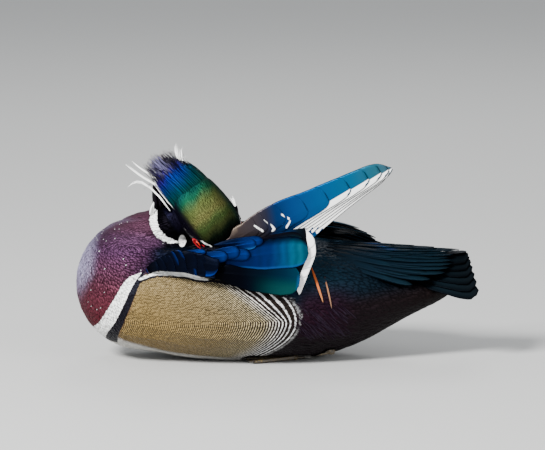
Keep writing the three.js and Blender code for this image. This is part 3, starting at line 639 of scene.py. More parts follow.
# %% How big the feathers are
def feather_size(points):
    """Spacing, length and half width of the feathers at places."""
    x, _, z = points.T
    _, on_head, _, _, neck, _ = zones(points)
    spacing = np.interp(x, [-180, -120, -60, 60, 150], [1.9, 1.9, 2.1, 2.6, 2.5])
    spacing = spacing + 1.2 * ease(belly_edge(x) - z, 4, 14)
    spacing = spacing * (1 - neck) + 1.5 * neck
    spacing = spacing * (1 - on_head) + 1.0 * on_head
    length = spacing * (4.2 + 1.0 * ease(x, 20, 80) + 1.5 * on_head)
    return spacing, length, spacing * (1 - 0.2 * on_head)


def throw_darts(points, spacing, cell=2.0):
    """Which of the points, taken in turn, keep their distance from those kept before."""
    kept, grid = [], {}
    places = np.floor(points / cell).astype(int).tolist()
    for n, (p, (i, j, k), r) in enumerate(zip(points.tolist(), places, spacing.tolist())):
        span = range(-int(r // cell) - 1, int(r // cell) + 2)
        others = [q for a in span for b in span for c in span for q in grid.get((i + a, j + b, k + c), ())]
        if all((p[0] - q[0]) ** 2 + (p[1] - q[1]) ** 2 + (p[2] - q[2]) ** 2 >= r * r for q in others):
            grid.setdefault((i, j, k), []).append(p)
            kept.append(n)
    return np.array(kept)


# %% The bare place of the eye
def at_eye(points):
    """How near places are to the bare ring of either eye: 1 on its outer line, less inside."""
    hx, hy, hz = from_head(points).T
    near = np.sqrt(((hx - 15.5) / 7.4) ** 2 + ((hz + 2.0) / 5.2) ** 2)
    return np.where(np.abs(hy) > 14, near, 9)


# %% Roots over the whole skin
draw = np.random.default_rng(11)
triangle = skin_points[skin_faces]
area = np.linalg.norm(np.cross(triangle[:, 1] - triangle[:, 0], triangle[:, 2] - triangle[:, 0]), axis=1) / 2
middle_size = feather_size(triangle.mean(1))[0]
chance = area / middle_size ** 2
TRIES = int(chance.sum() * 3)
pick = draw.choice(len(area), TRIES, p=chance / chance.sum())
share = draw.random((TRIES, 2))
share = np.where(share.sum(1, keepdims=True) > 1, 1 - share, share)
corner = triangle[pick]
tries = (corner[:, 0] + (corner[:, 1] - corner[:, 0]) * share[:, :1]
         + (corner[:, 2] - corner[:, 0]) * share[:, 1:])
tries_spacing = feather_size(tries)[0]
kept = throw_darts(tries, tries_spacing)
roots = tries[kept]
root_normals = unit(skin_normals[skin_faces[pick[kept]]].mean(1))
ends = roots + lie(roots, root_normals) * feather_size(roots)[1][:, None] * 0.9
clear = (at_eye(roots) > 1) & (at_eye(ends) > 0.95) & (at_eye((roots + ends) / 2) > 0.95)
roots, root_normals = roots[clear], root_normals[clear]
print(len(roots), "roots are kept of", TRIES, "thrown")


# %% Nearest places on the skin
ROWS = np.array([0, 0.4, 0.75, 1])
WIDTHS = np.array([0.6, 1, 0.85, 0.3])
ROOT_DEPTH, FLECKED, PATCH = 0.25, 0.035, 0.003


def on_skin(points):
    """The nearest places on the skin, and the smooth normals there."""
    found = [skin_tree.find_nearest(p) for p in points.reshape(-1, 3).tolist()]
    place = np.array([f[0] for f in found]).reshape(points.shape)
    face = np.array([f[2] for f in found])
    return place, unit(skin_normals[skin_faces[face]].mean(1)).reshape(points.shape)


# %% The painted highlight along the breast
def painted_breast_highlight(points):
    """A painted highlight: the pale bluish shine along the upper and front line of the breast, strongest at
    the edge.
    """
    x, _, z = np.moveaxis(points, -1, 0)
    inside = (x - breast_front(z)) * np.interp(z, [60, 110, 125, 137], [1, 0.9, 0.55, 0.4])
    width = np.interp(z, [60, 85, 105, 120, 132], [12, 22, 20, 9, 5])
    return ease(inside, width, 0.1 * width) * ease(z, 48, 84) * ease(x, -112, -126) * ease(z, 136, 116)


# %% The shape of the coat's feathers
def coat_rings(root, normal):
    """The rings of feathers at their roots, and what their marks are worked out from."""
    count = len(root)
    x, _, z = root.T
    _, length, half = feather_size(root)
    length = length * draw.uniform(0.8, 1.2, count)
    half = half * draw.uniform(0.85, 1.15, count)
    way = lie(root, normal)
    way = unit(way + np.cross(normal, way) * draw.normal(0, 0.05, (count, 1)))
    ground, up = on_skin(root[:, None] + way[:, None] * (length[:, None] * ROWS)[..., None])
    on_flank = ease(flank_top(x) - z, -1, 3) * ease(x, 24, 12) * ease(x, -150, -140)
    tip_height = coat_depth(root) * draw.uniform(0.9, 1.08, count) * (1 - 0.6 * on_flank)
    line = ground + up * (-ROOT_DEPTH + (tip_height[:, None] + ROOT_DEPTH) * ROWS ** 0.8)[..., None]
    side = unit(np.cross(up, unit(np.gradient(line, axis=1))))
    wide = (half[:, None] * WIDTHS)[..., None]
    rings = np.stack([line - side * wide - up * wide * 0.1, line + up * 0.05,
                      line + side * wide - up * wide * 0.1, line - up * 0.08], 2)
    rings[..., 2] = np.maximum(rings[..., 2], 0.05)
    web = np.zeros((*rings.shape[:3], 3))
    web[..., 0] = (half[:, None, None] * WIDTHS[:, None]) * np.array([-1, 0, 1, 0])
    web[..., 1] = length[:, None, None] * ROWS[:, None]
    return rings, rings - (line - ground)[:, :, None], up, web


# %% The marks of the coat's feathers
def coat_marks(root, rings, print_on, up):
    """The plumage's marks printed on feathers, each a little different from the next."""
    count = len(root)
    x, y, z = root.T
    seen = plumage(print_on.reshape(-1, 3))
    seen = {key: value.reshape(*rings.shape[:3], *value.shape[1:]) for key, value in seen.items()}
    seen["tint"] = seen["tint"] * np.clip(draw.normal(1, 0.05, (count, 1, 1, 1)), 0.8, 1.2)
    # Painted highlight: a pale bluish shine, only on the near side and brightest towards the feathers' tips.
    near_side = ease(y, 30, -10)[:, None, None]
    painted_shine = painted_breast_highlight(print_on) * draw.uniform(0.55, 1, (count, 1, 1)) * near_side
    painted_shine = painted_shine * np.interp(ROWS, [0, 0.6, 1], [0.35, 0.8, 1])[:, None]
    seen["tint"] = blend(seen["tint"], ink("cfc8f0"), painted_shine)
    seen["rest"] = np.broadcast_to(up[:, :, None], rings.shape)
    seen["bar"][..., 0] += draw.normal(0, 0.03, (count, 1, 1))
    for edge in ("white_in", "black_in"):
        seen[edge] = seen[edge] + draw.normal(0, 0.15, (count, 1, 1))
    on_breast = (x < bar_left(np.minimum(z, 89)) - 6) & (z > 30)
    fleck = (draw.random(count) < FLECKED) & on_breast
    seen["white_in"][fleck, 3] = 0.3
    seen["white_in"][fleck, 2] = -1.0
    return seen


# %% One part of the coat
def grow_coat(name, chosen):
    """The feathers of one part of the coat."""
    root = roots[chosen]
    rings, print_on, up, web = coat_rings(root, root_normals[chosen])
    seen = coat_marks(root, rings, print_on, up)
    web[..., 2] = draw.random((len(root), 1, 1))
    seen["web"] = web
    piece = join_rings(name, rings, seen, patches(root, rings.shape))
    piece.data.materials.append(plumage_material)
    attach(piece, "root")
    print(name, "has", len(root), "feathers")


def patches(root, shape):
    """Each feather's patch on an unwrap of the skin round its long axis."""
    x, y, z = root.T
    hx, hy, hz = from_head(root).T
    round_body = np.arctan2(y, z - body_widest(x)) / (2 * math.pi) + 0.5
    round_head = np.arctan2(hy, hz) / (2 * math.pi) + 0.5
    body_chart = np.stack([(x + 195) / 400 * 0.7, round_body], -1)
    head_chart = np.stack([0.72 + (hx + 60) / 110 * 0.27, round_head], -1)
    high = ease(to_skull(root), 56, 55) > 0.5
    chart = np.where(high[:, None], head_chart, body_chart)
    across = np.zeros((*shape[1:3], 2))
    place = np.arange(shape[2]) / shape[2]
    across[..., 0] = np.where(place < 0.5, place * 2, 2 - place * 2)
    across[..., 1] = np.linspace(0, 1, shape[1])[:, None]
    return chart[:, None, None] + (across - 0.5)[None] * PATCH


# %% [markdown]
# ## The finish of feathers
# A feather's web is fine parallel barbs that slant from the shaft to the edge. They are too fine to model,
# and an image of them would repeat, so they are a ripple of light and height that follows each feather's
# own measures. The gloss of the blue and green feathers comes from their structure and looks almost like
# metal, so it is partly metallic.


# %% Small helpers for node trees
def add(tree, kind, inputs=None, **settings):
    """A node with its settings, its inputs linked or set."""
    made = tree.nodes.new(kind)
    for key, value in settings.items():
        setattr(made, key, value)
    for key, value in (inputs or {}).items():
        if isinstance(value, bpy.types.NodeSocket):
            tree.links.new(value, made.inputs[key])
        else:
            made.inputs[key].default_value = value
    return made


def maths(tree, operation, *values):
    return add(tree, "ShaderNodeMath", dict(enumerate(values)), operation=operation).outputs[0]


def fade(tree, value, low, high, to_low=0.0, to_high=1.0):
    made = add(tree, "ShaderNodeMapRange", {"Value": value, "From Min": low, "From Max": high,
                                            "To Min": to_low, "To Max": to_high},
               interpolation_type="SMOOTHSTEP")
    return made.outputs["Result"]


def mix_colour(tree, share, a, b, how="MIX"):
    made = add(tree, "ShaderNodeMix", {0: share, 6: a, 7: b}, data_type="RGBA", blend_type=how)
    return made.outputs[2]


def attribute(tree, name, output="Fac"):
    return add(tree, "ShaderNodeAttribute", attribute_name=name).outputs[output]


def object_noise(tree, scale, detail=2.0):
    """Noise that stays at its place on the bird."""
    place = add(tree, "ShaderNodeTexCoord").outputs["Object"]
    return add(tree, "ShaderNodeTexNoise", {"Vector": place, "Scale": scale, "Detail": detail}).outputs[0]


def colour_and_relief(material, colour, height=None, strength=0.0, depth=0.0, invert=False):
    """Links a colour, and if there is a height its relief, to a material's shader."""
    tree = material.node_tree
    shader = tree.nodes["Principled BSDF"]
    tree.links.new(colour, shader.inputs["Base Color"])
    if height is not None:
        relief = add(tree, "ShaderNodeBump", {"Height": height, "Strength": strength, "Distance": depth},
                     invert=invert)
        tree.links.new(relief.outputs[0], shader.inputs["Normal"])


# %% The barbs of a web
barbs = bpy.data.node_groups.new("barbs", "ShaderNodeTree")
barbs.interface.new_socket("Web", in_out="INPUT", socket_type="NodeSocketVector")
barbs.interface.new_socket("Per mm", in_out="INPUT", socket_type="NodeSocketFloat")
barbs.interface.new_socket("Shade", in_out="OUTPUT", socket_type="NodeSocketFloat")
barbs.interface.new_socket("Height", in_out="OUTPUT", socket_type="NodeSocketFloat")
given = barbs.nodes.new("NodeGroupInput")
split = add(barbs, "ShaderNodeSeparateXYZ", {0: given.outputs["Web"]})
slant = maths(barbs, "SUBTRACT", split.outputs[1], maths(barbs, "ABSOLUTE", split.outputs[0]))
turns = maths(barbs, "MULTIPLY", slant, given.outputs["Per mm"])
ripple = maths(barbs, "SINE", maths(barbs, "MULTIPLY", turns, 2 * math.pi))
grain = add(barbs, "ShaderNodeTexNoise", {"Vector": given.outputs["Web"], "Scale": 0.8, "Detail": 2.0})
ripple = maths(barbs, "ADD", ripple, maths(barbs, "MULTIPLY", grain.outputs[0], 1.2))
shaft = fade(barbs, maths(barbs, "ABSOLUTE", split.outputs[0]), 0.25, 0.6, 1.0, 0.0)
result = barbs.nodes.new("NodeGroupOutput")
barbs.links.new(maths(barbs, "MULTIPLY_ADD", ripple, 0.06, 0.94), result.inputs["Shade"])
barbs.links.new(maths(barbs, "ADD", ripple, shaft), result.inputs["Height"])
print("the barbs are a group of", len(barbs.nodes), "nodes")


# %% The plumage material
def feather_material(name, per_mm, roughness, settle):
    """Tint, sharp marks and nested bars from the attributes, with barbs over all; settle lets small
    feathers catch the light like the smooth skin below them."""
    material = bpy.data.materials.new(name)
    material.use_nodes = True
    tree = material.node_tree
    shader = tree.nodes["Principled BSDF"]
    colour = attribute(tree, "tint", "Vector")
    bar = add(tree, "ShaderNodeSeparateXYZ", {0: attribute(tree, "bar", "Vector")})
    place = maths(tree, "FRACT", bar.outputs[0])
    over = maths(tree, "SUBTRACT", place, bar.outputs[1])
    edge = maths(tree, "MINIMUM", over, maths(tree, "SUBTRACT", 1.0, place))
    dark = maths(tree, "MULTIPLY", fade(tree, edge, -0.06, 0.06), bar.outputs[2])
    colour = mix_colour(tree, dark, colour, (0.012, 0.008, 0.006, 1))
    white = fade(tree, attribute(tree, "white_in"), -0.35, 0.35)
    black = fade(tree, attribute(tree, "black_in"), -0.35, 0.35)
    colour = mix_colour(tree, black, colour, (0.006, 0.005, 0.008, 1))
    colour = mix_colour(tree, white, colour, (0.92, 0.92, 0.90, 1))
    web = tree.nodes.new("ShaderNodeGroup")
    web.node_tree = barbs
    tree.links.new(attribute(tree, "web", "Vector"), web.inputs["Web"])
    web.inputs["Per mm"].default_value = per_mm
    colour = mix_colour(tree, 1.0, colour, web.outputs["Shade"], "MULTIPLY")
    tree.links.new(colour, shader.inputs["Base Color"])
    marked = maths(tree, "MAXIMUM", white, maths(tree, "MAXIMUM", black, dark))
    plain_part = maths(tree, "SUBTRACT", 1.0, marked)
    tree.links.new(maths(tree, "MULTIPLY", attribute(tree, "gloss"), plain_part), shader.inputs["Metallic"])
    shader.inputs["Roughness"].default_value = roughness
    shader.inputs["Specular IOR Level"].default_value = 0.2
    shader.inputs["Specular Tint"].default_value = (0.12, 0.15, 0.2, 1)
    own = add(tree, "ShaderNodeNewGeometry").outputs["Normal"]
    rest = add(tree, "ShaderNodeVectorMath", {0: attribute(tree, "rest", "Vector"), "Scale": settle},
               operation="SCALE").outputs[0]
    facing = add(tree, "ShaderNodeVectorMath", {0: own, 1: rest}, operation="ADD").outputs[0]
    facing = add(tree, "ShaderNodeVectorMath", {0: facing}, operation="NORMALIZE").outputs[0]
    bump = add(tree, "ShaderNodeBump", {"Height": web.outputs["Height"], "Strength": 0.15,
                                        "Distance": 0.0001, "Normal": facing})
    tree.links.new(bump.outputs[0], shader.inputs["Normal"])
    return material


plumage_material = feather_material("plumage", 2.5, 0.42, 1.6)
flight_material = feather_material("flight feathers", 1.6, 0.36, 0.0)
skin.data.materials.append(plumage_material)

# %% Parts of the coat
x, y, z = roots.T
_, on_head, _, _, neck, _ = zones(roots)
low = z < flank_top(x) + 3
everywhere = np.ones(len(roots), bool)
COAT_PARTS = [("coat_head", on_head > 0.5, "head_feathers"),
              ("coat_neck", neck > 0.5, "neck_feathers"),
              ("coat_belly", z < belly_edge(x), "breast_feathers"),
              ("coat_breast", x < bar_black(np.minimum(z, BAR_TOP)), "breast_feathers"),
              ("coat_rump", x > 40, "rump_feathers"),
              ("coat_flank_left", low & (y < 0), "flank_feathers"),
              ("coat_flank_right", low & (y > 0), "flank_feathers"),
              ("coat_back", everywhere, "shoulder_feathers")]
free = everywhere.copy()
for name, part, material_slot in COAT_PARTS:
    grow_coat(name, np.flatnonzero(part & free))
    free &= ~part

# %% [markdown]
# ## Eyes and their red rings
# A drake's eye is red with a round black pupil, and a swollen ring of bare red skin, its lids, lies round
# it. The ball is a sphere with its pole turned outward, so the sphere's own map gives pupil and iris as
# rings, and no image is needed. The lids could be extruded from the skin, but a torus, longer than high and
# turned a little to follow the cheek, gives the same even swelling at once.


# %% Setting a form on the head
HEAD_TURN = Matrix(head_axes.T.tolist()).to_euler("XYZ")


def turn(angle, axis):
    bpy.ops.transform.rotate(value=-angle, orient_axis=axis, orient_type="GLOBAL", center_override=(0, 0, 0))


def set_on_head(local):
    """Turns what is selected in edit mode from the head's frame to the bird's, and moves it to a place."""
    for angle, axis in zip(HEAD_TURN, "XYZ"):
        turn(angle, axis)
    bpy.ops.transform.translate(value=in_head(local) * MM)


def start_form(primitive, **sizes):
    """Adds a primitive and leaves all of it selected in edit mode."""
    bpy.ops.object.select_all(action="DESELECT")
    primitive(**sizes)
    bpy.ops.object.mode_set(mode="EDIT")
    bpy.ops.mesh.select_all(action="SELECT")


def finish_piece(name, material, nodes=()):
    """Smooth faces, one material, and a place in the model."""
    bpy.ops.object.mode_set(mode="OBJECT")
    piece = bpy.context.object
    piece.name = name
    bpy.ops.object.shade_smooth()
    piece.data.materials.clear()
    piece.data.materials.append(material)
    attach(piece, "root")
    if nodes:
        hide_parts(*nodes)
    print(name, "has", len(piece.data.polygons), "faces")


# %% Materials of eye and lids
eye_material = plain("eye", (0.3, 0.02, 0.01), 0.04)
tree = eye_material.node_tree
map_place = add(tree, "ShaderNodeUVMap").outputs[0]
outward = add(tree, "ShaderNodeSeparateXYZ", {0: map_place}).outputs[1]
drawn_out = add(tree, "ShaderNodeVectorMath", {0: map_place, 1: (60.0, 3.0, 1.0)},
                operation="MULTIPLY").outputs[0]
spokes = add(tree, "ShaderNodeTexNoise", {"Vector": drawn_out, "Scale": 1.0, "Detail": 3.0}).outputs[0]
iris = mix_colour(tree, spokes, (0.42, 0.012, 0.008, 1), (0.62, 0.05, 0.015, 1))
iris = mix_colour(tree, fade(tree, outward, 0.70, 0.66), iris, (0.02, 0.004, 0.004, 1))
iris = mix_colour(tree, fade(tree, outward, 0.855, 0.865), iris, (0.002, 0.002, 0.002, 1))
colour_and_relief(eye_material, iris)

lid_material = plain("eye ring", (0.6, 0.03, 0.02), 0.4)
tree = lid_material.node_tree
place = add(tree, "ShaderNodeTexCoord").outputs["Object"]
bumps = add(tree, "ShaderNodeTexVoronoi", {"Vector": place, "Scale": 1500.0}).outputs["Distance"]
patchy = object_noise(tree, 400.0, 3.0)
red = mix_colour(tree, fade(tree, patchy, 0.35, 0.65), (0.30, 0.003, 0.010, 1), (0.48, 0.010, 0.016, 1))
colour_and_relief(lid_material, red, bumps, 0.4, 0.0002)

# %% Balls and lids on both sides
BALL, LID_REACH, LID_THICK = 5.6 * MM, 5.3 * MM, 1.6 * MM
LID_SHAPE, LID_TILT, LID_TURN = (1.22, 0.92, 0.85), math.radians(6), math.radians(12)
for node in ("eye_left", "eye_right"):
    spot = read_points(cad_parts[node].data)[0].mean(0)
    out = math.copysign(1, from_head(spot[None])[0, 1])
    start_form(bpy.ops.mesh.primitive_uv_sphere_add, segments=48, ring_count=24, radius=BALL)
    turn(-out * math.pi / 2, "X")
    set_on_head((15.5, out * 19.2, -1.4))
    finish_piece("ball_of_" + node, eye_material, [node])
    start_form(bpy.ops.mesh.primitive_torus_add, major_segments=64, minor_segments=20, major_radius=LID_REACH,
               minor_radius=LID_THICK)
    bpy.ops.transform.resize(value=LID_SHAPE, center_override=(0, 0, 0))
    turn(-out * math.pi / 2, "X")
    turn(out * LID_TILT, "X")
    turn(-out * LID_TURN, "Z")
    set_on_head((16.2, out * 22.4, -1.8))
    finish_piece("lids_of_" + node, lid_material)

# %% [markdown]
# ## Bill, legs and feet
# They keep their solids, which already have the real shape, and only need a skin. The bill gets its pattern
# from its place in the head's frame: a yellow line round its root, then red, then white on the sides, with
# a black ridge and tip. Legs and webs have scales, which are raised cells. Small dark claws are cones set
# at the toes.

# %% Where a place lies on the head
head_place = bpy.data.node_groups.new("place on the head", "ShaderNodeTree")
for axis in "XYZ":
    head_place.interface.new_socket(axis, in_out="OUTPUT", socket_type="NodeSocketFloat")
result = head_place.nodes.new("NodeGroupOutput")
here = add(head_place, "ShaderNodeTexCoord").outputs["Object"]
away = add(head_place, "ShaderNodeVectorMath", {0: here, 1: tuple(HEAD_CENTRE * MM)},
           operation="SUBTRACT").outputs[0]
for axis, line in zip("XYZ", head_axes):
    reach = add(head_place, "ShaderNodeVectorMath", {0: away, 1: tuple(line / MM)}, operation="DOT_PRODUCT")
    head_place.links.new(reach.outputs["Value"], result.inputs[axis])

# %% The bill's pattern
bill_material = plain("bill", (0.5, 0.1, 0.05), 0.35)
tree = bill_material.node_tree
local = tree.nodes.new("ShaderNodeGroup")
local.node_tree = head_place
grain = object_noise(tree, 300.0, 4.0)
ahead = maths(tree, "MULTIPLY_ADD", grain, 3.0, maths(tree, "SUBTRACT", local.outputs["X"], 1.5))
aside = maths(tree, "ABSOLUTE", local.outputs["Y"])
horn = mix_colour(tree, grain, (0.30, 0.035, 0.018, 1), (0.42, 0.07, 0.028, 1))
for measure, low, high, colour in ((ahead, 42.0, 45.0, (0.60, 0.57, 0.50, 1)),
                                   (aside, 4.2, 2.8, (0.012, 0.011, 0.012, 1)),
                                   (ahead, 56.0, 58.5, (0.010, 0.010, 0.010, 1)),
                                   (ahead, 34.0, 33.2, (0.44, 0.30, 0.035, 1))):
    horn = mix_colour(tree, fade(tree, measure, low, high), horn, colour)
colour_and_relief(bill_material, horn, grain, 0.2, 0.0003)

# %% Scaled skin of legs and feet
leg_material = plain("leg", (0.3, 0.2, 0.06), 0.45)
tree = leg_material.node_tree
place = add(tree, "ShaderNodeTexCoord").outputs["Object"]
cells = add(tree, "ShaderNodeTexVoronoi", {"Vector": place, "Scale": 900.0}).outputs["Distance"]
patchy = object_noise(tree, 120.0, 4.0)
tan = mix_colour(tree, fade(tree, patchy, 0.35, 0.65), (0.15, 0.105, 0.035, 1), (0.07, 0.05, 0.028, 1))
tan = mix_colour(tree, fade(tree, cells, 0.35, 0.6), tan, (0.035, 0.027, 0.02, 1))
colour_and_relief(leg_material, tan, cells, 0.5, 0.0003, invert=True)
for material, names in ((bill_material, ("bill_upper", "bill_lower")),
                        (leg_material, ("leg_left", "leg_right", "foot_left", "foot_right"))):
    for name in names:
        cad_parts[name].data.materials.clear()
        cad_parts[name].data.materials.append(material)
    print(" and ".join(names), "are finished as", material.name)

# %% Claws
CLAW_ROOT, CLAW_TIP, CLAW_LONG, CLAW_DROOP = 1.5 * MM, 0.15 * MM, 7 * MM, 0.12
HEEL = (18, 27)
claw_material = plain("claw", (0.015, 0.012, 0.010), 0.3)
tree = claw_material.node_tree
dark = mix_colour(tree, object_noise(tree, 700.0), (0.010, 0.008, 0.007, 1), (0.045, 0.033, 0.024, 1))
colour_and_relief(claw_material, dark)
claws = []
for side in (-1, 1):
    for tip_x, tip_y in ((-14, 13), (-28, 29), (-20, 46)):
        start_form(bpy.ops.mesh.primitive_cone_add, vertices=16, radius1=CLAW_ROOT, radius2=CLAW_TIP,
                   depth=CLAW_LONG)
        turn(-math.pi / 2 - CLAW_DROOP, "Y")
        turn(math.atan2(side * (HEEL[1] - tip_y), HEEL[0] - tip_x), "Z")
        bpy.ops.transform.translate(value=Vector((tip_x - 2.5, side * tip_y, 2.0)) * MM)
        bpy.ops.object.mode_set(mode="OBJECT")
        claws.append(bpy.context.object)
for claw in claws:
    claw.select_set(True)
bpy.ops.object.join()
finish_piece("claws", claw_material)

# %% [markdown]
# ## Flight feathers
# The big feathers of wing and tail each have a stiff shaft and two webs. Each could be cut from a plane and
# bent, but dozens of them have to lie on the same sheets as their solids, without touching. So a feather is
# a curve on a sheet, or in the air, with an outline across it, and the sheet gives it height.

# %% Outlines of webs
flight_outline = through((0, 0.3), (0.25, 0.8), (0.55, 1), (0.82, 0.95), (0.95, 0.62), (1, 0.12))
blunt_outline = through((0, 0.25), (0.25, 0.7), (0.55, 0.95), (0.82, 1), (0.95, 0.86), (1, 0.35))
broad_outline = through((0, 0.25), (0.2, 0.62), (0.5, 0.95), (0.8, 1), (0.92, 0.86), (0.98, 0.55), (1, 0.3))
soft_outline = through((0, 0.5), (0.25, 0.95), (0.55, 1), (0.82, 0.78), (0.95, 0.42), (1, 0.1))
VANE_THICK, PITCH = 0.5, 0.98
print("big feathers are", VANE_THICK, "mm thick and lie", PITCH, "mm apart")


# %% Rows and places of a feather's mesh
def grid(along, top):
    """Rows along a feather, places round it from edge to edge and back, and which face each is on."""
    around = np.array(list(top) + list(top[1:-1])[::-1], float)
    face = np.array([0] + [1] * (len(top) - 2) + [0] + [-1] * (len(top) - 2), float)
    return np.array(along, float), around, face


BIG = grid(list(np.linspace(0, 0.8, 18)) + list(np.linspace(0.83, 1, 9)),
           [-1, -0.93, -0.78, -0.5, -0.25, -0.06, 0, 0.06, 0.25, 0.5, 0.78, 0.93, 1])
MIDDLE = grid([0, 0.2, 0.4, 0.6, 0.75, 0.88, 0.96, 1], [-1, -0.6, 0, 0.6, 1])
SMALL = grid([0, 0.25, 0.5, 0.75, 0.92, 1], [-1, 0, 1])
print("the biggest mesh has", len(BIG[0]), "rows of", len(BIG[1]), "points a feather")


# %% The shape of one feather
def bent_line(points, t):
    """Places and ways along a line that is drawn towards its middle point."""
    a, b, c = (np.asarray(p, float) for p in points)
    t = t[:, None]
    return a * (1 - t) ** 2 + 2 * b * t * (1 - t) + c * t * t, unit(2 * (b - a) * (1 - t) + 2 * (c - b) * t)


def web_of(half, outline, skew, mesh, ragged=0.008):
    """Across the feather in mm at every row and round place, with a slightly ragged edge."""
    along, around, _ = mesh
    edge = 1 + ragged * draw.normal(0, 1, (len(along), 1)) * (np.abs(around) > 0.85)
    return half * outline(along)[:, None] * around * (1 + np.sign(around) * skew) * edge


def web_height(half, crown, mesh):
    along, around, face = mesh
    shaft = np.exp(-(around / 0.05) ** 2) * 0.35 * (1 - along[:, None]) * (face > 0)
    thick = face * min(VANE_THICK, 0.6 * half) / 2 * (1 - 0.35 * along[:, None])
    return crown * half * (1 - around ** 2) + thick + shaft * min(1, half / 4)


# %% One feather on a sheet, or in the air
def laid(sheet, start, mid, end, off, half, outline=flight_outline, skew=0.0, crown=0.04, within=None,
         mesh=BIG):
    """The rings of one feather that lies on a sheet; within gives the room on its wide side."""
    mid = mid or ((start[0] + end[0]) / 2, (start[1] + end[1]) / 2)
    point, way = bent_line((start, mid, end), mesh[0])
    across = web_of(half, outline, skew, mesh)
    if within:
        across = within(point, way, across)
    flat = point[:, None] + np.stack([-way[:, 1], way[:, 0]], -1)[:, None] * across[..., None]
    height = off[0] + (off[1] - off[0]) * mesh[0][:, None] + web_height(half, crown, mesh)
    return sheet(flat[..., 0], flat[..., 1], height), across


def flown(root, mid, tip, half, facing, facing_tip=None, lean=0.0, outline=flight_outline, skew=0.0,
          crown=0.0, mesh=BIG):
    """The rings of one feather in the air."""
    point, way = bent_line((root, mid, tip), mesh[0])
    facing = np.asarray(facing, float)
    facing_tip = facing if facing_tip is None else np.asarray(facing_tip, float)
    up = facing + (facing_tip - facing) * mesh[0][:, None]
    up = unit(up - way * (up * way).sum(-1, keepdims=True))
    side = np.cross(way, up)
    up = unit(up + side * math.tan(lean))
    side = np.cross(way, up)
    across = web_of(half, outline, skew, mesh)
    height = web_height(half, crown, mesh)
    return point[:, None] + side[:, None] * across[..., None] + up[:, None] * height[..., None], across


# %% Several feathers as one piece
def dress(name, feathers, paint, gloss, nodes=(), mesh=BIG):
    """One piece from several feathers' rings, painted by number, place across and place along."""
    along, around, face = mesh
    rings = np.stack([ring for ring, _ in feathers])
    across = np.stack([wide for _, wide in feathers])
    count = len(rings)
    number = np.arange(count)[:, None, None] + 0 * across
    s = np.broadcast_to(around, across.shape)
    t = np.broadcast_to(along[:, None], across.shape)
    seen = paint(number, s, t, rings)
    length = np.linalg.norm(rings[:, -1, 0] - rings[:, 0, 0], axis=1)[:, None, None]
    seen["web"] = np.stack([across, t * length, number * 7.3 + 0 * t], -1)
    seen.setdefault("bar", np.zeros((*across.shape, 3)))
    for mark in ("white_in", "black_in"):
        seen.setdefault(mark, np.full(across.shape, float(OUTSIDE)))
    seen["gloss"] = np.full(across.shape, float(gloss))
    below = np.where(face > 0, 0, 0.5)
    chart = np.stack([(number + 0.08 + 0.84 * (s + 1) / 2) / count, below + 0.02 + t * 0.45 + 0 * s], -1)
    piece = join_rings(name, rings, seen, chart)
    piece.data.materials.append(flight_material)
    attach(piece, "root")
    if nodes:
        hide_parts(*nodes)
    print(name, "has", count, "feathers")


def fan(count):
    """Each number from 0, with its share of the way from first to last."""
    return [(i, i / (count - 1)) for i in range(count)]


# %% [markdown]
# ## The raised blade
# The long primaries of the left wing stand up behind the head. They slide over each other like the sticks
# of a fan and share one smooth upper edge, with silvery outer webs below. One plate would be simpler, but
# then its edges would not step, so eleven single feathers are laid and trimmed to the common edge.

# %% The blade's upper edge
blade_edge = through((-60, 118), (-46, 120.5), (-32, 134.6), (-16.5, 146.2), (4.5, 156.9), (25.4, 164.3),
                     (43.2, 171.7), (57, 177), (72.8, 183.4), (86.4, 188.6), (93.7, 189.8), (104, 187),
                     (112, 178))


def under_edge(point, way, across):
    """Narrows the upper web so that the whole blade shares one smooth upper edge."""
    room = across.max(1)
    for _ in range(6):
        room = (blade_edge(point[:, 0] - way[:, 1] * room) - point[:, 1]) / way[:, 0]
    share = np.clip(room / np.maximum(across.max(1), 0.1), 0.05, 1)[:, None]
    return np.where(across > 0, across * share, across)


# %% White dashes near the blade's root
TICKS = [((-21.5, 134.2), (-12.3, 127.9)), ((-11, 138.6), (-0.9, 129.9)), ((-0.9, 129.9), (-3.6, 127.6)),
         ((3.1, 144.6), (12.5, 139.2)), ((13.2, 137), (9.1, 130.6))]


def blade_ticks(x, z):
    """The short white dashes near the blade's root: how far inside one of them a place lies."""
    inside = np.full(x.shape, float(OUTSIDE))
    for a, b in np.array(TICKS):
        way = b - a
        k = np.clip(((x - a[0]) * way[0] + (z - a[1]) * way[1]) / (way @ way), 0, 1)
        gap = np.hypot(x - a[0] - way[0] * k, z - a[1] - way[1] * k)
        inside = np.maximum(inside, 0.45 + 0.6 * np.sqrt(k) - gap)
    return inside


# %% Colours of the blade, and its feathers
def blade_paint(number, s, t, rings):
    x, z = rings[..., 0], rings[..., 2]
    along = x * 0.85 + (z - 110) * 0.52 + 0.35 * (blade_edge(x) - z)
    tint = ramp(along, (-20, "463c3b"), (2, "403a40"), (12, "2c2e40"), (22, "0c3264"), (38, "084482"),
                (66, "0a5890"), (95, "0c6690"), (118, "2a6c80"), (130, "4a6c7c"))
    end = np.minimum((1 - t) * 75 / 1.4, 9)
    tint = blend(tint, ink("06101c"), ease(end, 1.0, 0.4) * ease(s, -0.6, -0.2) * 0.9)
    rim = ease(blade_edge(x) - z, 1.0, 0.3) * ease(along, 30, 0) * ease(along, -32, -20)
    tint = blend(tint, ink("8a7a6a"), rim * 0.6)
    lower = 7 * broad_outline(t)
    outer = ease(number, 3.6, 4.4) * ease(t, 0.15, 0.25)
    white = (-0.12 - s) * lower * outer + OUTSIDE * (1 - outer)
    line = (0.75 - (1 + s) * lower) * outer + OUTSIDE * (1 - outer)
    inside = np.where(line > -0.4, -1, white)
    return {"tint": tint, "white_in": np.maximum(np.minimum(inside, 9), blade_ticks(x, z)), "black_in": line}


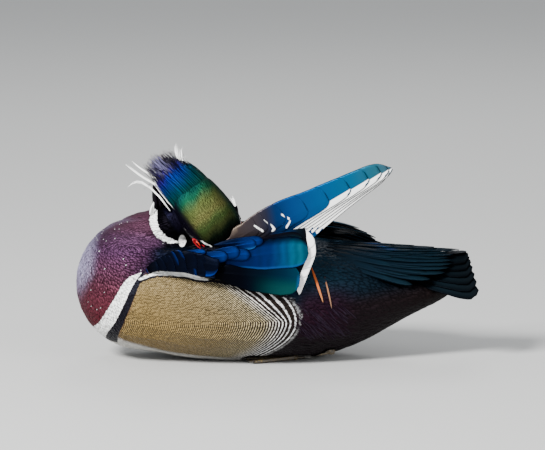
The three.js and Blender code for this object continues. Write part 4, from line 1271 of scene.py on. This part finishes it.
BLADE_FEATHERS = 11
tip_x = through((0, -17), (2, 8), (3, 29), (7, 97), (9, 107), (10, 103))
tip_z = through((0, 131), (2, 141), (3, 148), (7, 182), (9, 186), (10, 182))
blade = []
for i, f in fan(BLADE_FEATHERS):
    start, end = (-45 + 65 * f, 112 - 3 * f), (float(tip_x(i)), float(tip_z(i)))
    mid = (start[0] + (end[0] - start[0]) * (0.5 - 0.12 * f), start[1] + (end[1] - start[1]) * 0.53 + 2)
    blade.append(laid(blade_sheet, start, mid, end, ((BLADE_FEATHERS - 1 - i) * PITCH,) * 2,
                      12 if i < 3 else 14, broad_outline, 0.5, within=under_edge))
dress("blade_left", blade, blade_paint, 0.75, ["wing_left_primaries"])

# %% [markdown]
# ## The lifted wing
# Below the blade the left wing is held out over the flank. It shows the dark ends of the secondaries with a
# white band, two broad blue and green tertials, a few ruffled blue coverts, and the navy shoulder feathers
# in front. Painted on one plate they would have no steps to catch the light, so every feather is laid by
# itself on the wing's sheet, and the next lies a little higher.


# %% The wing's rear edge and its white band
wing_end = through((68, 21), (71, 22.5), (90, 30), (107, 36.2), (108.5, 36.5), (120.6, 35.2), (126, 32),
                   (131, 27))
band_width = through((69, 0), (73, 4), (90, 7), (107, 6.8), (121, 6.6), (127, 3), (130, 0))


def to_wing_end(feather):
    """Keeps a feather's end on the smooth line of the wing's rear edge."""
    rings, across = feather
    rings[..., 0] = np.minimum(rings[..., 0], wing_end(rings[..., 2]) + 0.3 * BIG[2])
    return rings, across


def speculum_paint(number, s, t, rings):
    x, z = rings[..., 0], rings[..., 2]
    tint = ramp(x, (-40, "0a1430"), (0, "0c2c5c"), (20, "08131c"), (30, "0a0708"))
    seam = np.abs(z - 107.8) - 0.5
    return {"tint": tint, "white_in": np.minimum(band_width(z) - (wing_end(z) - x), seam)}


dress("speculum_left", [to_wing_end(
    laid(lifted_sheet, (-50 + 8 * f, 91 + 14 * f), (-10, 88 + 26 * f),
         (float(wing_end(76 + 48 * f)) + 4, 76 + 48 * f), (-4.4 + i * PITCH,) * 2, 11, broad_outline))
    for i, f in fan(6)], speculum_paint, 0.5, ["wing_left_secondaries"])


# %% Two broad tertials
def upper_tertial_paint(number, s, t, rings):
    x, z = rings[..., 0], rings[..., 2]
    tint = ramp(x, (-45, "060c2e"), (-25, "061b56"), (-5, "062868"), (8, "045080"), (20, "066c84"),
                (30, "055468"))
    # Painted shade along the upper web.
    tint = blend(tint, ink("03060e"), ease(s, 0.5, 0.92))
    tint = blend(tint, ink("041c3c"), (0.5 + 0.5 * np.sin(0.75 * x + 0.5 * np.sin(0.4 * z))) * 0.4)
    # A painted highlight along the lower edge.
    tint = blend(tint, ink("1c64b8"), ease(s, -0.91, -0.95) * ease(t, 0.1, 0.3))
    return {"tint": blend(tint, ink("0c080a"), (number == 0) * 0.9)}


def lower_tertial_paint(number, s, t, rings):
    x = rings[..., 0]
    tint = ramp(x, (-60, "030204"), (-32, "04060e"), (-12, "051322"), (8, "04263c"), (22, "063a4e"))
    tint = blend(tint, ink("065450"), ease(s, 0.3, -0.7) * ease(x, -26, 12) * 0.8)
    # A painted highlight along the tip's edge.
    return {"tint": blend(tint, ink("1a5c94"), ease(t, 0.97, 0.985) * ease(s, 0.9, 0.2))}


dress("tertial_left_lower", [laid(lifted_sheet, (-60, 91), (-20, 88), (22, 83), (2, 2.1), 15, broad_outline)],
      lower_tertial_paint, 0.7, ["wing_left_tertials"])
dress("tertial_left_upper", [
    laid(lifted_sheet, (-40, 107), (-8, 118), (24, 121), (2.4, 2.4), 9, broad_outline),
    laid(lifted_sheet, (-47, 102), (-10, 109), (29.5, 111), (3.3, 3.4), 14.5, broad_outline)],
      upper_tertial_paint, 0.7)


# %% Coverts of the lifted wing, a little ruffled
def blue_paint(number, s, t, rings):
    # The coverts' own blue, darker towards the root and over both edges as painted shade, with a painted
    # highlight on one feather's lower edge.
    tint = ramp(t, (0, "020411"), (0.45, "020a26"), (0.7, "05205c"), (0.9, "072a70"), (1, "04123a"))
    tint = blend(tint, ink("02050f"), ease(s, 0.1, 0.95) * 0.85)
    tint = blend(tint, ink("02050f"), ease(s, -0.6, -0.9) * 0.6)
    return {"tint": blend(tint, ink("2a70c0"), (number == 2) * ease(s, -0.72, -0.86) * ease(t, 0.35, 0.6))}


coverts = []
for a0, b0, a1, b1, half in ((-58, 116, -12, 121, 5), (-62, 106, -24, 108, 6), (-50, 112, -18.4, 118.5, 5.2),
                             (-70, 104, -33.5, 111, 6.2), (-84, 103, -44.5, 106.5, 5.6),
                             (-96, 106, -65, 110.2, 3.2)):
    coverts.append(laid(lifted_sheet, (a0, b0), ((a0 + a1) / 2, (b0 + b1) / 2 + draw.uniform(0.5, 2)),
                        (a1, b1), (2.8, 5.4 + 0.018 * (-19 - a1)), half, broad_outline, crown=0.12))
dress("coverts_left", coverts, blue_paint, 0.75, ["wing_left_coverts"])


# %% Shoulder feathers of the lifted wing
def navy_paint(number, s, t, rings):
    tint = ramp(t, (0, "030306"), (0.6, "04050b"), (1, "060a1a"))
    # A painted blue glint on one feather's lower edge and on a few tips.
    edge = ease(s, -0.72, -0.9) * ease(t, 0.3, 0.5) * (number == 4)
    tip = ease(t, 0.9, 0.98) * (np.sin(number * 2.4) > 0.8)
    return {"tint": blend(tint, ink("123a9c"), edge + 0.2 * tip)}


shoulder_rise = through((-150, -8), (-125, 2.0), (-110, 4.8), (-100, 6.2), (-85, 7.6), (-70, 8.4), (-50, 9.2))
SHOULDER_ROOT = np.array([-134, 83])


def within_shoulder(feather):
    """Presses what hangs over the shoulder's outline back onto it."""
    rings, across = feather
    x, z = rings[..., 0], rings[..., 2]
    low, high = shoulder_low(x) + 0.4, shoulder_high(x) + 0.5
    rings[..., 2] = np.where(z < low, low + 0.04 * (z - low), np.where(z > high, high + 0.04 * (z - high), z))
    return rings, across


shoulder = []
for tier, tip in enumerate(range(-56, -124, -9)):
    low, high = shoulder_low(tip) + 3, shoulder_high(tip) - 3
    count = max(1, round((high - low) / 9) + 1)
    for k in range(count):
        height = low + (high - low) * (k + 0.5 * (tier % 2)) / max(count - 0.5, 1)
        end = np.array([tip + draw.uniform(-2, 2) - 0.1 * (height - 92), height])
        begin = end + (SHOULDER_ROOT - end) * min(1, 30 / np.linalg.norm(end - SHOULDER_ROOT))
        shoulder.append(within_shoulder(
            laid(lifted_sheet, tuple(begin), None, tuple(end),
                 (float(shoulder_rise(begin[0])) - 2.0, float(shoulder_rise(end[0])) + 0.1 * k),
                 9, blunt_outline, crown=0.03)))
shoulder.insert(4, within_shoulder(
    laid(lifted_sheet, (-104, 98), (-80, 104), (-53, 98), (2.5, 10.0), 12, broad_outline, crown=0.05)))
dress("scapulars_left_feathers", shoulder, navy_paint, 0.7, ["scapulars_left"])

# %% [markdown]
# ## The folded right wing
# The far wing lies closed over the back: shoulder feathers first, then coverts, the blue secondaries with
# their white ends, long tertials, and the tips of the primaries that reach the tail. The photograph hardly
# shows it, so it follows the near wing. Its groups lie in tiers on the sheet of the back, as slates do.


# %% Tiers of small feathers
def tiers(sheet, places, at_zero, rise, half, narrowing=0.0):
    """Small feathers in tiers, each over the one behind it."""
    return [laid(sheet, (a0, b0), None, (a1, b1),
                 (at_zero + rise * a0 + i * PITCH, at_zero + rise * a1 + i * PITCH),
                 half - narrowing * i, soft_outline)
            for i, (a0, b0, a1, b1) in enumerate(places)]


dress("scapulars_right_feathers",
      tiers(back_sheet, [(-90, 42, -8, 46), (-92, 56, -30, 59), (-96, 67, -50, 69), (-98, 40, -46, 40),
                         (-104, 54, -66, 57), (-108, 64, -80, 66)], 19.3, 0.12, 13, 0.7),
      navy_paint, 0.7, ["scapulars_right"])
dress("coverts_right", tiers(back_sheet, [(-66, 76, -30, 82), (-66, 68, -28, 71), (-68, 60, -32, 61)],
                             15.8, 0.128, 7),
      blue_paint, 0.75, ["wing_right_coverts"])


# %% Secondaries, tertials and primaries of the folded wing
def far_speculum_paint(number, s, t, rings):
    tint = ramp(t, (0, "0a1430"), (0.5, "0c2c6c"), (0.85, "0a5070"), (0.9, "050608"))
    return {"tint": tint, "white_in": np.where(rings[..., 1] > 60, (t - 0.93) * 70, OUTSIDE)}


def far_tertial_paint(number, s, t, rings):
    tint = ramp(t, (0, "1a2c40"), (0.4, "1a3c58"), (0.8, "163a4c"), (1, "0c2028"))
    # A painted blue glint along one edge.
    return {"tint": blend(tint, ink("123a8c"), ease(s, 0.84, 0.95) * ease(t, 0.3, 0.6))}


def far_primary_paint(number, s, t, rings):
    return {"tint": ramp(t, (0, "1a2c3c"), (0.5, "183446"), (1, "10303e"))}


dress("speculum_right", [
    laid(back_sheet, (-34 + 6 * f, 74 - 16 * f), (10, 78 - 22 * f), (44 + 14 * f, 78 - 34 * f),
         (7.3 + i * PITCH,) * 2, 10, broad_outline) for i, f in fan(5)],
      far_speculum_paint, 0.6, ["wing_right_secondaries"])
dress("tertials_right", [
    laid(back_sheet, (-18 + 4 * f, 50 - 12 * f), (34, 44 - 16 * f), (102 - 24 * f, 30 - 22 * f),
         (12.6 + i * PITCH, 15.5 + i * PITCH), 11) for i, f in fan(4)],
      far_tertial_paint, 0.6, ["wing_right_tertials"])
right_primaries = [
    laid(back_sheet, (46, 54 - 6 * f), (80, 46 - 8 * f), (122 - 20 * f, 27),
         (1 + i * PITCH, 0.25 * (80 - 20 * f) + i * PITCH), 8, skew=0.4) for i, f in fan(5)]
right_primaries += [
    laid(back_sheet, (10 + 6 * f, 40 - 20 * f), (50, 36 - 16 * f), (100 - 6 * f, 26 - 12 * f),
         (2 + 1.2 * i, 7 + 2.6 * i), 9) for i, f in fan(5)]
dress("primaries_right", right_primaries, far_primary_paint, 0.6,
      ["wing_right_primaries"])

# %% [markdown]
# ## Tail and rump
# A wood duck's tail is a long blunt fan of dark glossy feathers. Long soft feathers from the rump are
# draped over its root in rows, and beside them hang two thin orange streaks and a fringe of hair-like
# purple plumes. The fan could be a bent plate cut into strips, but each feather is flown on its own line in
# the air, turned a little more than the last, so that the fan is a roof from behind.


# %% Tail
def tail_paint(number, s, t, rings):
    tint = ramp(t, (0, "101820"), (0.6, "16242c"), (1, "141a1e"))
    return {"tint": blend(tint, ink("05070a"), ease(np.abs(s), 0.6, 0.95))}


TAIL_SIDE = 6
tail = []
for place in [*range(TAIL_SIDE + 1), *range(-1, -TAIL_SIDE - 1, -1)]:
    f, side = abs(place) / TAIL_SIDE, np.sign(place)
    tilt = side * math.atan(1.5 * f ** 0.4)
    start = (112, side * 10 * f, 95 - 10 * f - 0.3 * abs(place))
    end = (179 + 10 * f, side * 32 * f ** 0.9, 99.5 - 33.5 * f ** 1.3)
    tail.append(flown(start, tuple((np.array(start) + end) / 2), end, 9.4,
                      (0, math.sin(tilt), math.cos(tilt)), (0.05, math.sin(tilt), math.cos(tilt)),
                      side * 0.1, blunt_outline, -0.3 * side))
dress("tail_feathers", tail, tail_paint, 0.8, ["tail"])


# %% Places on the drape over the tail's root
def drape(f, t):
    """A place on the drape: f runs across it from -1 to 1, and t from the rump to its tips."""
    g = abs(f)
    root = back_sheet(np.array(84.0), np.array(32.0 * f), 2 + 3.9 * (1 - g))
    mid = np.array([122, 32 * f, 105 - 26 * g * g])
    tip = np.array([171 - 11 * g, 24 * f, 101.4 - 18 * g * g])
    return root * (1 - t) ** 2 + 2 * mid * t * (1 - t) + tip * t * t


# %% The painted blue glint and the drape's colours
FOLD = ([55, 87, 104, 112], [118, 108, 101.6, 100])


def painted_blue_glint(tint, rings):
    """A painted highlight: a thin blue glint along the fold between far wing and rump."""
    x, y, z = np.moveaxis(rings, -1, 0)
    near = np.abs(0.99 * z + 0.139 * y - np.interp(x, *FOLD))
    line = ease(near, 1.3, 0.4) * ease(x, 52, 62) * ease(x, 114, 104) * ease(y, 8, 0)
    return blend(tint, ink("1c5488"), line * 0.8)


def drape_paint(number, s, t, rings):
    tint = ramp(t, (0, "16242e"), (0.6, "1e3444"), (1, "264452"))
    tint = blend(tint, ink("0c141c"), ease(np.abs(s), 0.3, 0.9) * 0.55)
    tint = blend(tint, ink("0a0c10"), ease(t, 0.8, 1.0) * 0.7)
    return {"tint": painted_blue_glint(tint, rings)}


# %% Long soft feathers in rows
DRAPE_ROWS = ((19, 1.0, 5.4), (17, 0.78, 5.4), (15, 0.56, 5.2), (13, 0.36, 5.0))
draped = []
for tier, (count, reach, half) in enumerate(DRAPE_ROWS):
    for k in range(count):
        f = (2 * k / (count - 1) - 1) * (1.0 + 0.12 * tier)
        f = float(np.clip(f, -1.25, 1.25))
        end = reach * draw.uniform(0.94, 1.04)
        lift = np.array([0, 0.25 * np.sign(f), 0.6 * tier + 0.2 * (k % 2)])
        start = back_sheet(np.array(74.0 - 9 * tier), np.array(34.0 * f), np.array(-0.8))
        mid = drape(f, end * 0.45) + lift
        draped.append(flown(start, tuple(mid), tuple(drape(f, end) + lift), half,
                            (0, 0.85 * f, 1), None, 0.1 * np.sign(f), soft_outline, crown=0.03,
                            mesh=MIDDLE))
dress("tail_covert_feathers", draped, drape_paint, 0.85, ["tail_coverts"], MIDDLE)


# %% Two thin orange streaks on the rump
def streak_paint(number, s, t, rings):
    orange = ramp(t, (0, "a8502a"), (0.5, "c86a36"), (1, "b07a50"))
    return {"tint": blend(orange, ramp(t, (0, "2c1a18"), (0.4, "a07050"), (1, "8c6c58")), number)}


def side_place(x, z, off):
    """A place on the bird's left side at x and height z, off its skin."""
    near, _, _, _ = skin_tree.ray_cast(Vector((x, -120, z)), Vector((0, 1, 0)))
    return np.array(near) + np.array([0, -off, 0])


def side_feather(root, middle, tip, half, mesh=BIG):
    return flown(root, middle, tip, half, (0, -1, 0.3), None, 0, soft_outline, mesh=mesh)


dress("rump_streaks", [
    side_feather(side_place(33, 92, 1.0), side_place(38.5, 78, 4.4), side_place(43.7, 61, 2.6), 1.1),
    side_feather(side_place(45, 84, 0.3), side_place(49, 70, 3.2), side_place(51.7, 55, 2.0), 0.7)],
      streak_paint, 0.1)


# %% A fringe of hair-like purple plumes
def plume_paint(number, s, t, rings):
    return {"tint": ramp(t, (0, "1c1018"), (0.5, "2c1c2c"), (1, "443848"))}


PLUMES = 90
plumes = []
for _ in range(PLUMES):
    x, z = draw.uniform(14, 60), draw.uniform(34, 62)
    start = side_place(x, z, 0.2)
    end = side_place(x + draw.uniform(10, 17), z - draw.uniform(9, 15), 1.6)
    middle = side_place((start[0] + end[0]) / 2, (start[2] + end[2]) / 2 + 2, 2.0)
    plumes.append(side_feather(start, middle, end, draw.uniform(0.25, 0.5), SMALL))
dress("rump_plumes", plumes, plume_paint, 0.5, mesh=SMALL)

# %% [markdown]
# ## The crest
# Long narrow feathers sweep back from the crown and nape, green and blue at first and violet-black at their
# loose ends. White strands run through them on both sides. Hair curves would be quicker to comb, but the
# crest has to be a closed mesh like the rest, so its feathers grow in rings round the crown's own section,
# the outer rings first and each inner one shorter at its root.


# %% The crown's section, carried back
crest_middle = through((-85, -8), (-75, -7), (-52, -4), (-37, -1.3), (-18, 0))
crest_half = through((-85, 14), (-75, 15.5), (-60, 18), (-45, 21), (-30, 22.3), (-18, 23.3))
crest_rise = through((-85, 6), (-75, 8.5), (-60, 12), (-45, 15.5), (-30, 18), (-18, 19.3))


def in_crest(x, k, a):
    return in_head(np.array([x, crest_middle(x) + crest_half(x) * k * math.cos(a),
                             crest_rise(x) * k * math.sin(a)]))


# %% Colours along the crest
def crest_colour(rings):
    """The crown's colours carried on along the crest."""
    hx, hy, hz = np.moveaxis(from_head(rings), -1, 0)
    crown = blend(crown_colour_and_sheen(hx, hy), ink("2a1668"), ease(hy, -13, -19) * ease(hx, -42, -54))
    return blend(crown, ink("0b0914"), ease(hz, 5, -3))


def crest_paint(number, s, t, rings):
    hx, hy, hz = np.moveaxis(from_head(rings), -1, 0)
    stripe = np.where(np.abs(hy + 2) > 12, brow_stripe(hx, hz), OUTSIDE)
    return {"tint": crest_colour(rings), "white_in": stripe}


def on_head_way(local):
    """A way in the head's frame as one in the bird's."""
    return in_head(local) - HEAD_CENTRE


# %% Crest feathers in rings
CREST_RINGS = ((120, 0.99, -14), (96, 0.88, -19), (70, 0.74, -24), (50, 0.58, -28), (30, 0.4, -31),
               (14, 0.2, -33))
crest = []
for count, k, first in CREST_RINGS:
    for i in range(count):
        a = 2 * math.pi * (i + draw.uniform(-0.3, 0.3)) / count
        reach = -48 - 16 * math.sqrt(1 - k * k) + draw.uniform(-5, 4)
        k1 = k * draw.uniform(0.96, 1.04)
        start = first + draw.uniform(-9, 5)
        out = on_head_way((0, math.cos(a), math.sin(a)))
        crest.append(flown(in_crest(start, k * 0.93, a), in_crest((start + reach) / 2, k1 * 1.04, a),
                           in_crest(reach, k1 * 0.99, a), draw.uniform(0.9, 1.5), out, None,
                           draw.uniform(-0.1, 0.2), soft_outline, mesh=SMALL))
dress("crest_dark", crest, crest_paint, 0.75, ["crest"], SMALL)


# %% Loose hair-like ends of the crest
def hair_paint(number, s, t, rings):
    dark = ramp(t, (0, "0c0818"), (0.5, "0e0a1a"), (0.85, "141020"), (1, "3a2a2c"))
    pale = ramp(t, (0, "241c48"), (0.4, "58547c"), (1, "827ea4"))
    hx, hy, hz = np.moveaxis(from_head(rings), -1, 0)
    # The pale patch on top of the loose ends, and a few pale hairs, are a painted highlight.
    turn_up = np.sin(number * 1.7)
    patch = ease(np.hypot((hx + 64) / 13, (hy + 11) / 9), 1.25, 0.5) * ease(hz, 0, 5) * (turn_up > -0.5)
    return {"tint": blend(dark, pale, np.maximum(patch, 0.3 * (turn_up > 0.93)))}


HAIRS = 700
hairs = []
for _ in range(HAIRS):
    k, a = math.sqrt(draw.random()) * 0.97, draw.uniform(0, 2 * math.pi)
    reach = draw.uniform(-80, -60) + 6 * k
    out = on_head_way((0, math.cos(a), math.sin(a)))
    splay = on_head_way((0, draw.normal(-1.0, 3.0), draw.normal(0, 2.5)))
    hairs.append(flown(in_crest(-44, k, a), in_crest(-58, k, a), in_crest(reach, k, a) + splay,
                       draw.uniform(0.2, 0.5), out, None, 0, soft_outline, mesh=SMALL))
dress("crest_hair", hairs, hair_paint, 0.4, mesh=SMALL)

# %% White strands on both sides
STRANDS = [((-36, -12, 0), (-58, -27.5, -0.5), (-84, -34.5, 1)),
           ((-37, -9, -0.5), (-60, -21.5, -1.5), (-83.5, -27, -0.5)),
           ((-24.7, -26.3, -0.5), (-70, -24, 0.5), (-65.5, -45.5, -1)),
           ((-36, 5, 6), (-61.5, 4.5, 4), (-74, 18, 0)),
           ((-37, 7, 5), (-60, 7.5, 3), (-69, 17, -1)),
           ((-37, 8, 4), (-59, 9, 2), (-67.5, 20, -3)),
           ((-36, 9.5, 3), (-56, 10, 0), (-60, 20.5, -8))]
STRAND_HALVES = [1.2, 1.2, 1.0] + [0.85] * 4
WISPS = [tuple(tuple(np.array(place) + draw.normal(0, 0.3 + 0.5 * k, 3)) for k, place in enumerate(strand))
         for strand in STRANDS for _ in range(2)]
WISP_HALF = 0.45
strand_outline = through((0, 0.5), (0.25, 1), (0.6, 0.85), (0.85, 0.45), (1, 0.06))


def white_paint(number, s, t, rings):
    return {"tint": ink("f8f8f6") + 0 * t[..., None], "white_in": 9 + 0 * t}


halves = STRAND_HALVES + [WISP_HALF] * len(WISPS)
dress("crest_white", [flown(*in_head(strand), half, crown_up, None, 0, strand_outline, mesh=MIDDLE)
                      for strand, half in zip(STRANDS + WISPS, halves)],
      white_paint, 0, mesh=MIDDLE)

# %% [markdown]
# ## Nape and cheek
# Where the neck is bent, the black feathers of the nape stand up behind the crescent, whose white tip
# stands with them, and on the far cheek a white-tipped tuft is ruffled. The coat lies too flat for both, so
# they get feathers of their own, in the same way as the crest.


# %% Dark nape below the crest's left edge, and the crescent's white tip
def nape_paint(number, s, t, rings):
    return {"tint": ramp(t, (0, "0e0912"), (1, "120a10")), "white_in": (WHITE_NAPE - 0.5 - number) * 9}


def nape_feather(root, tip, bow, half, lean):
    return flown(root, (tip + root) / 2 + bow, tip, half, (-0.6, -0.8, 0.2), None, lean, soft_outline,
                 mesh=SMALL)


WHITE_NAPE, BLACK_NAPE = 9, 84
nape = []
for _, f in fan(WHITE_NAPE):
    tip = np.array([-115.2 + 1.4 * f, -37.5 + draw.uniform(-0.5, 0.5), 149 + 2.6 * f])
    root = np.array([-117.6 + 3.4 * f, -36.5, 139.5])
    nape.append(nape_feather(root, tip, (-0.8, -1.0, 0), 1.1, 0))
for _, f in fan(BLACK_NAPE):
    tip = np.array([-114.5 + 29 * f, -32 + draw.uniform(-4, 4), 167 - 5 * f])
    root = np.array([-112.5 + 26 * f + draw.uniform(-1.5, 1.5), tip[1] - 1, 144.5 - 4 * f])
    nape.append(nape_feather(root, tip, (-1.0, -2.0, 0), 1.9, draw.uniform(-0.2, 0.2)))
dress("nape", nape, nape_paint, 0.4, mesh=SMALL)


# %% Ruffled tuft on the far cheek
def tuft_paint(number, s, t, rings):
    hx = from_head(rings)[..., 0]
    return {"tint": ink("0a0910") + 0 * t[..., None], "white_in": 7.5 - hx}


TUFT_FEATHERS = 26
tuft = []
for _ in range(TUFT_FEATHERS):
    a, b, c = draw.uniform(-1, 1, 3)
    line = in_head(((17 + 2 * a, 20.5 + b, 4 + 2 * c), (9 + 2 * a, 27 + 0.8 * b, 4.5 + 2 * c),
                    (0.5 + 2.5 * a, 27.5 + 1.2 * b, 5.5 + 2 * c)))
    tuft.append(flown(*line, 1.4, on_head_way((0, 1, 0.3)), None, 0.3 * b, soft_outline, mesh=SMALL))
dress("cheek_tuft_right", tuft, tuft_paint, 0.3, mesh=SMALL)
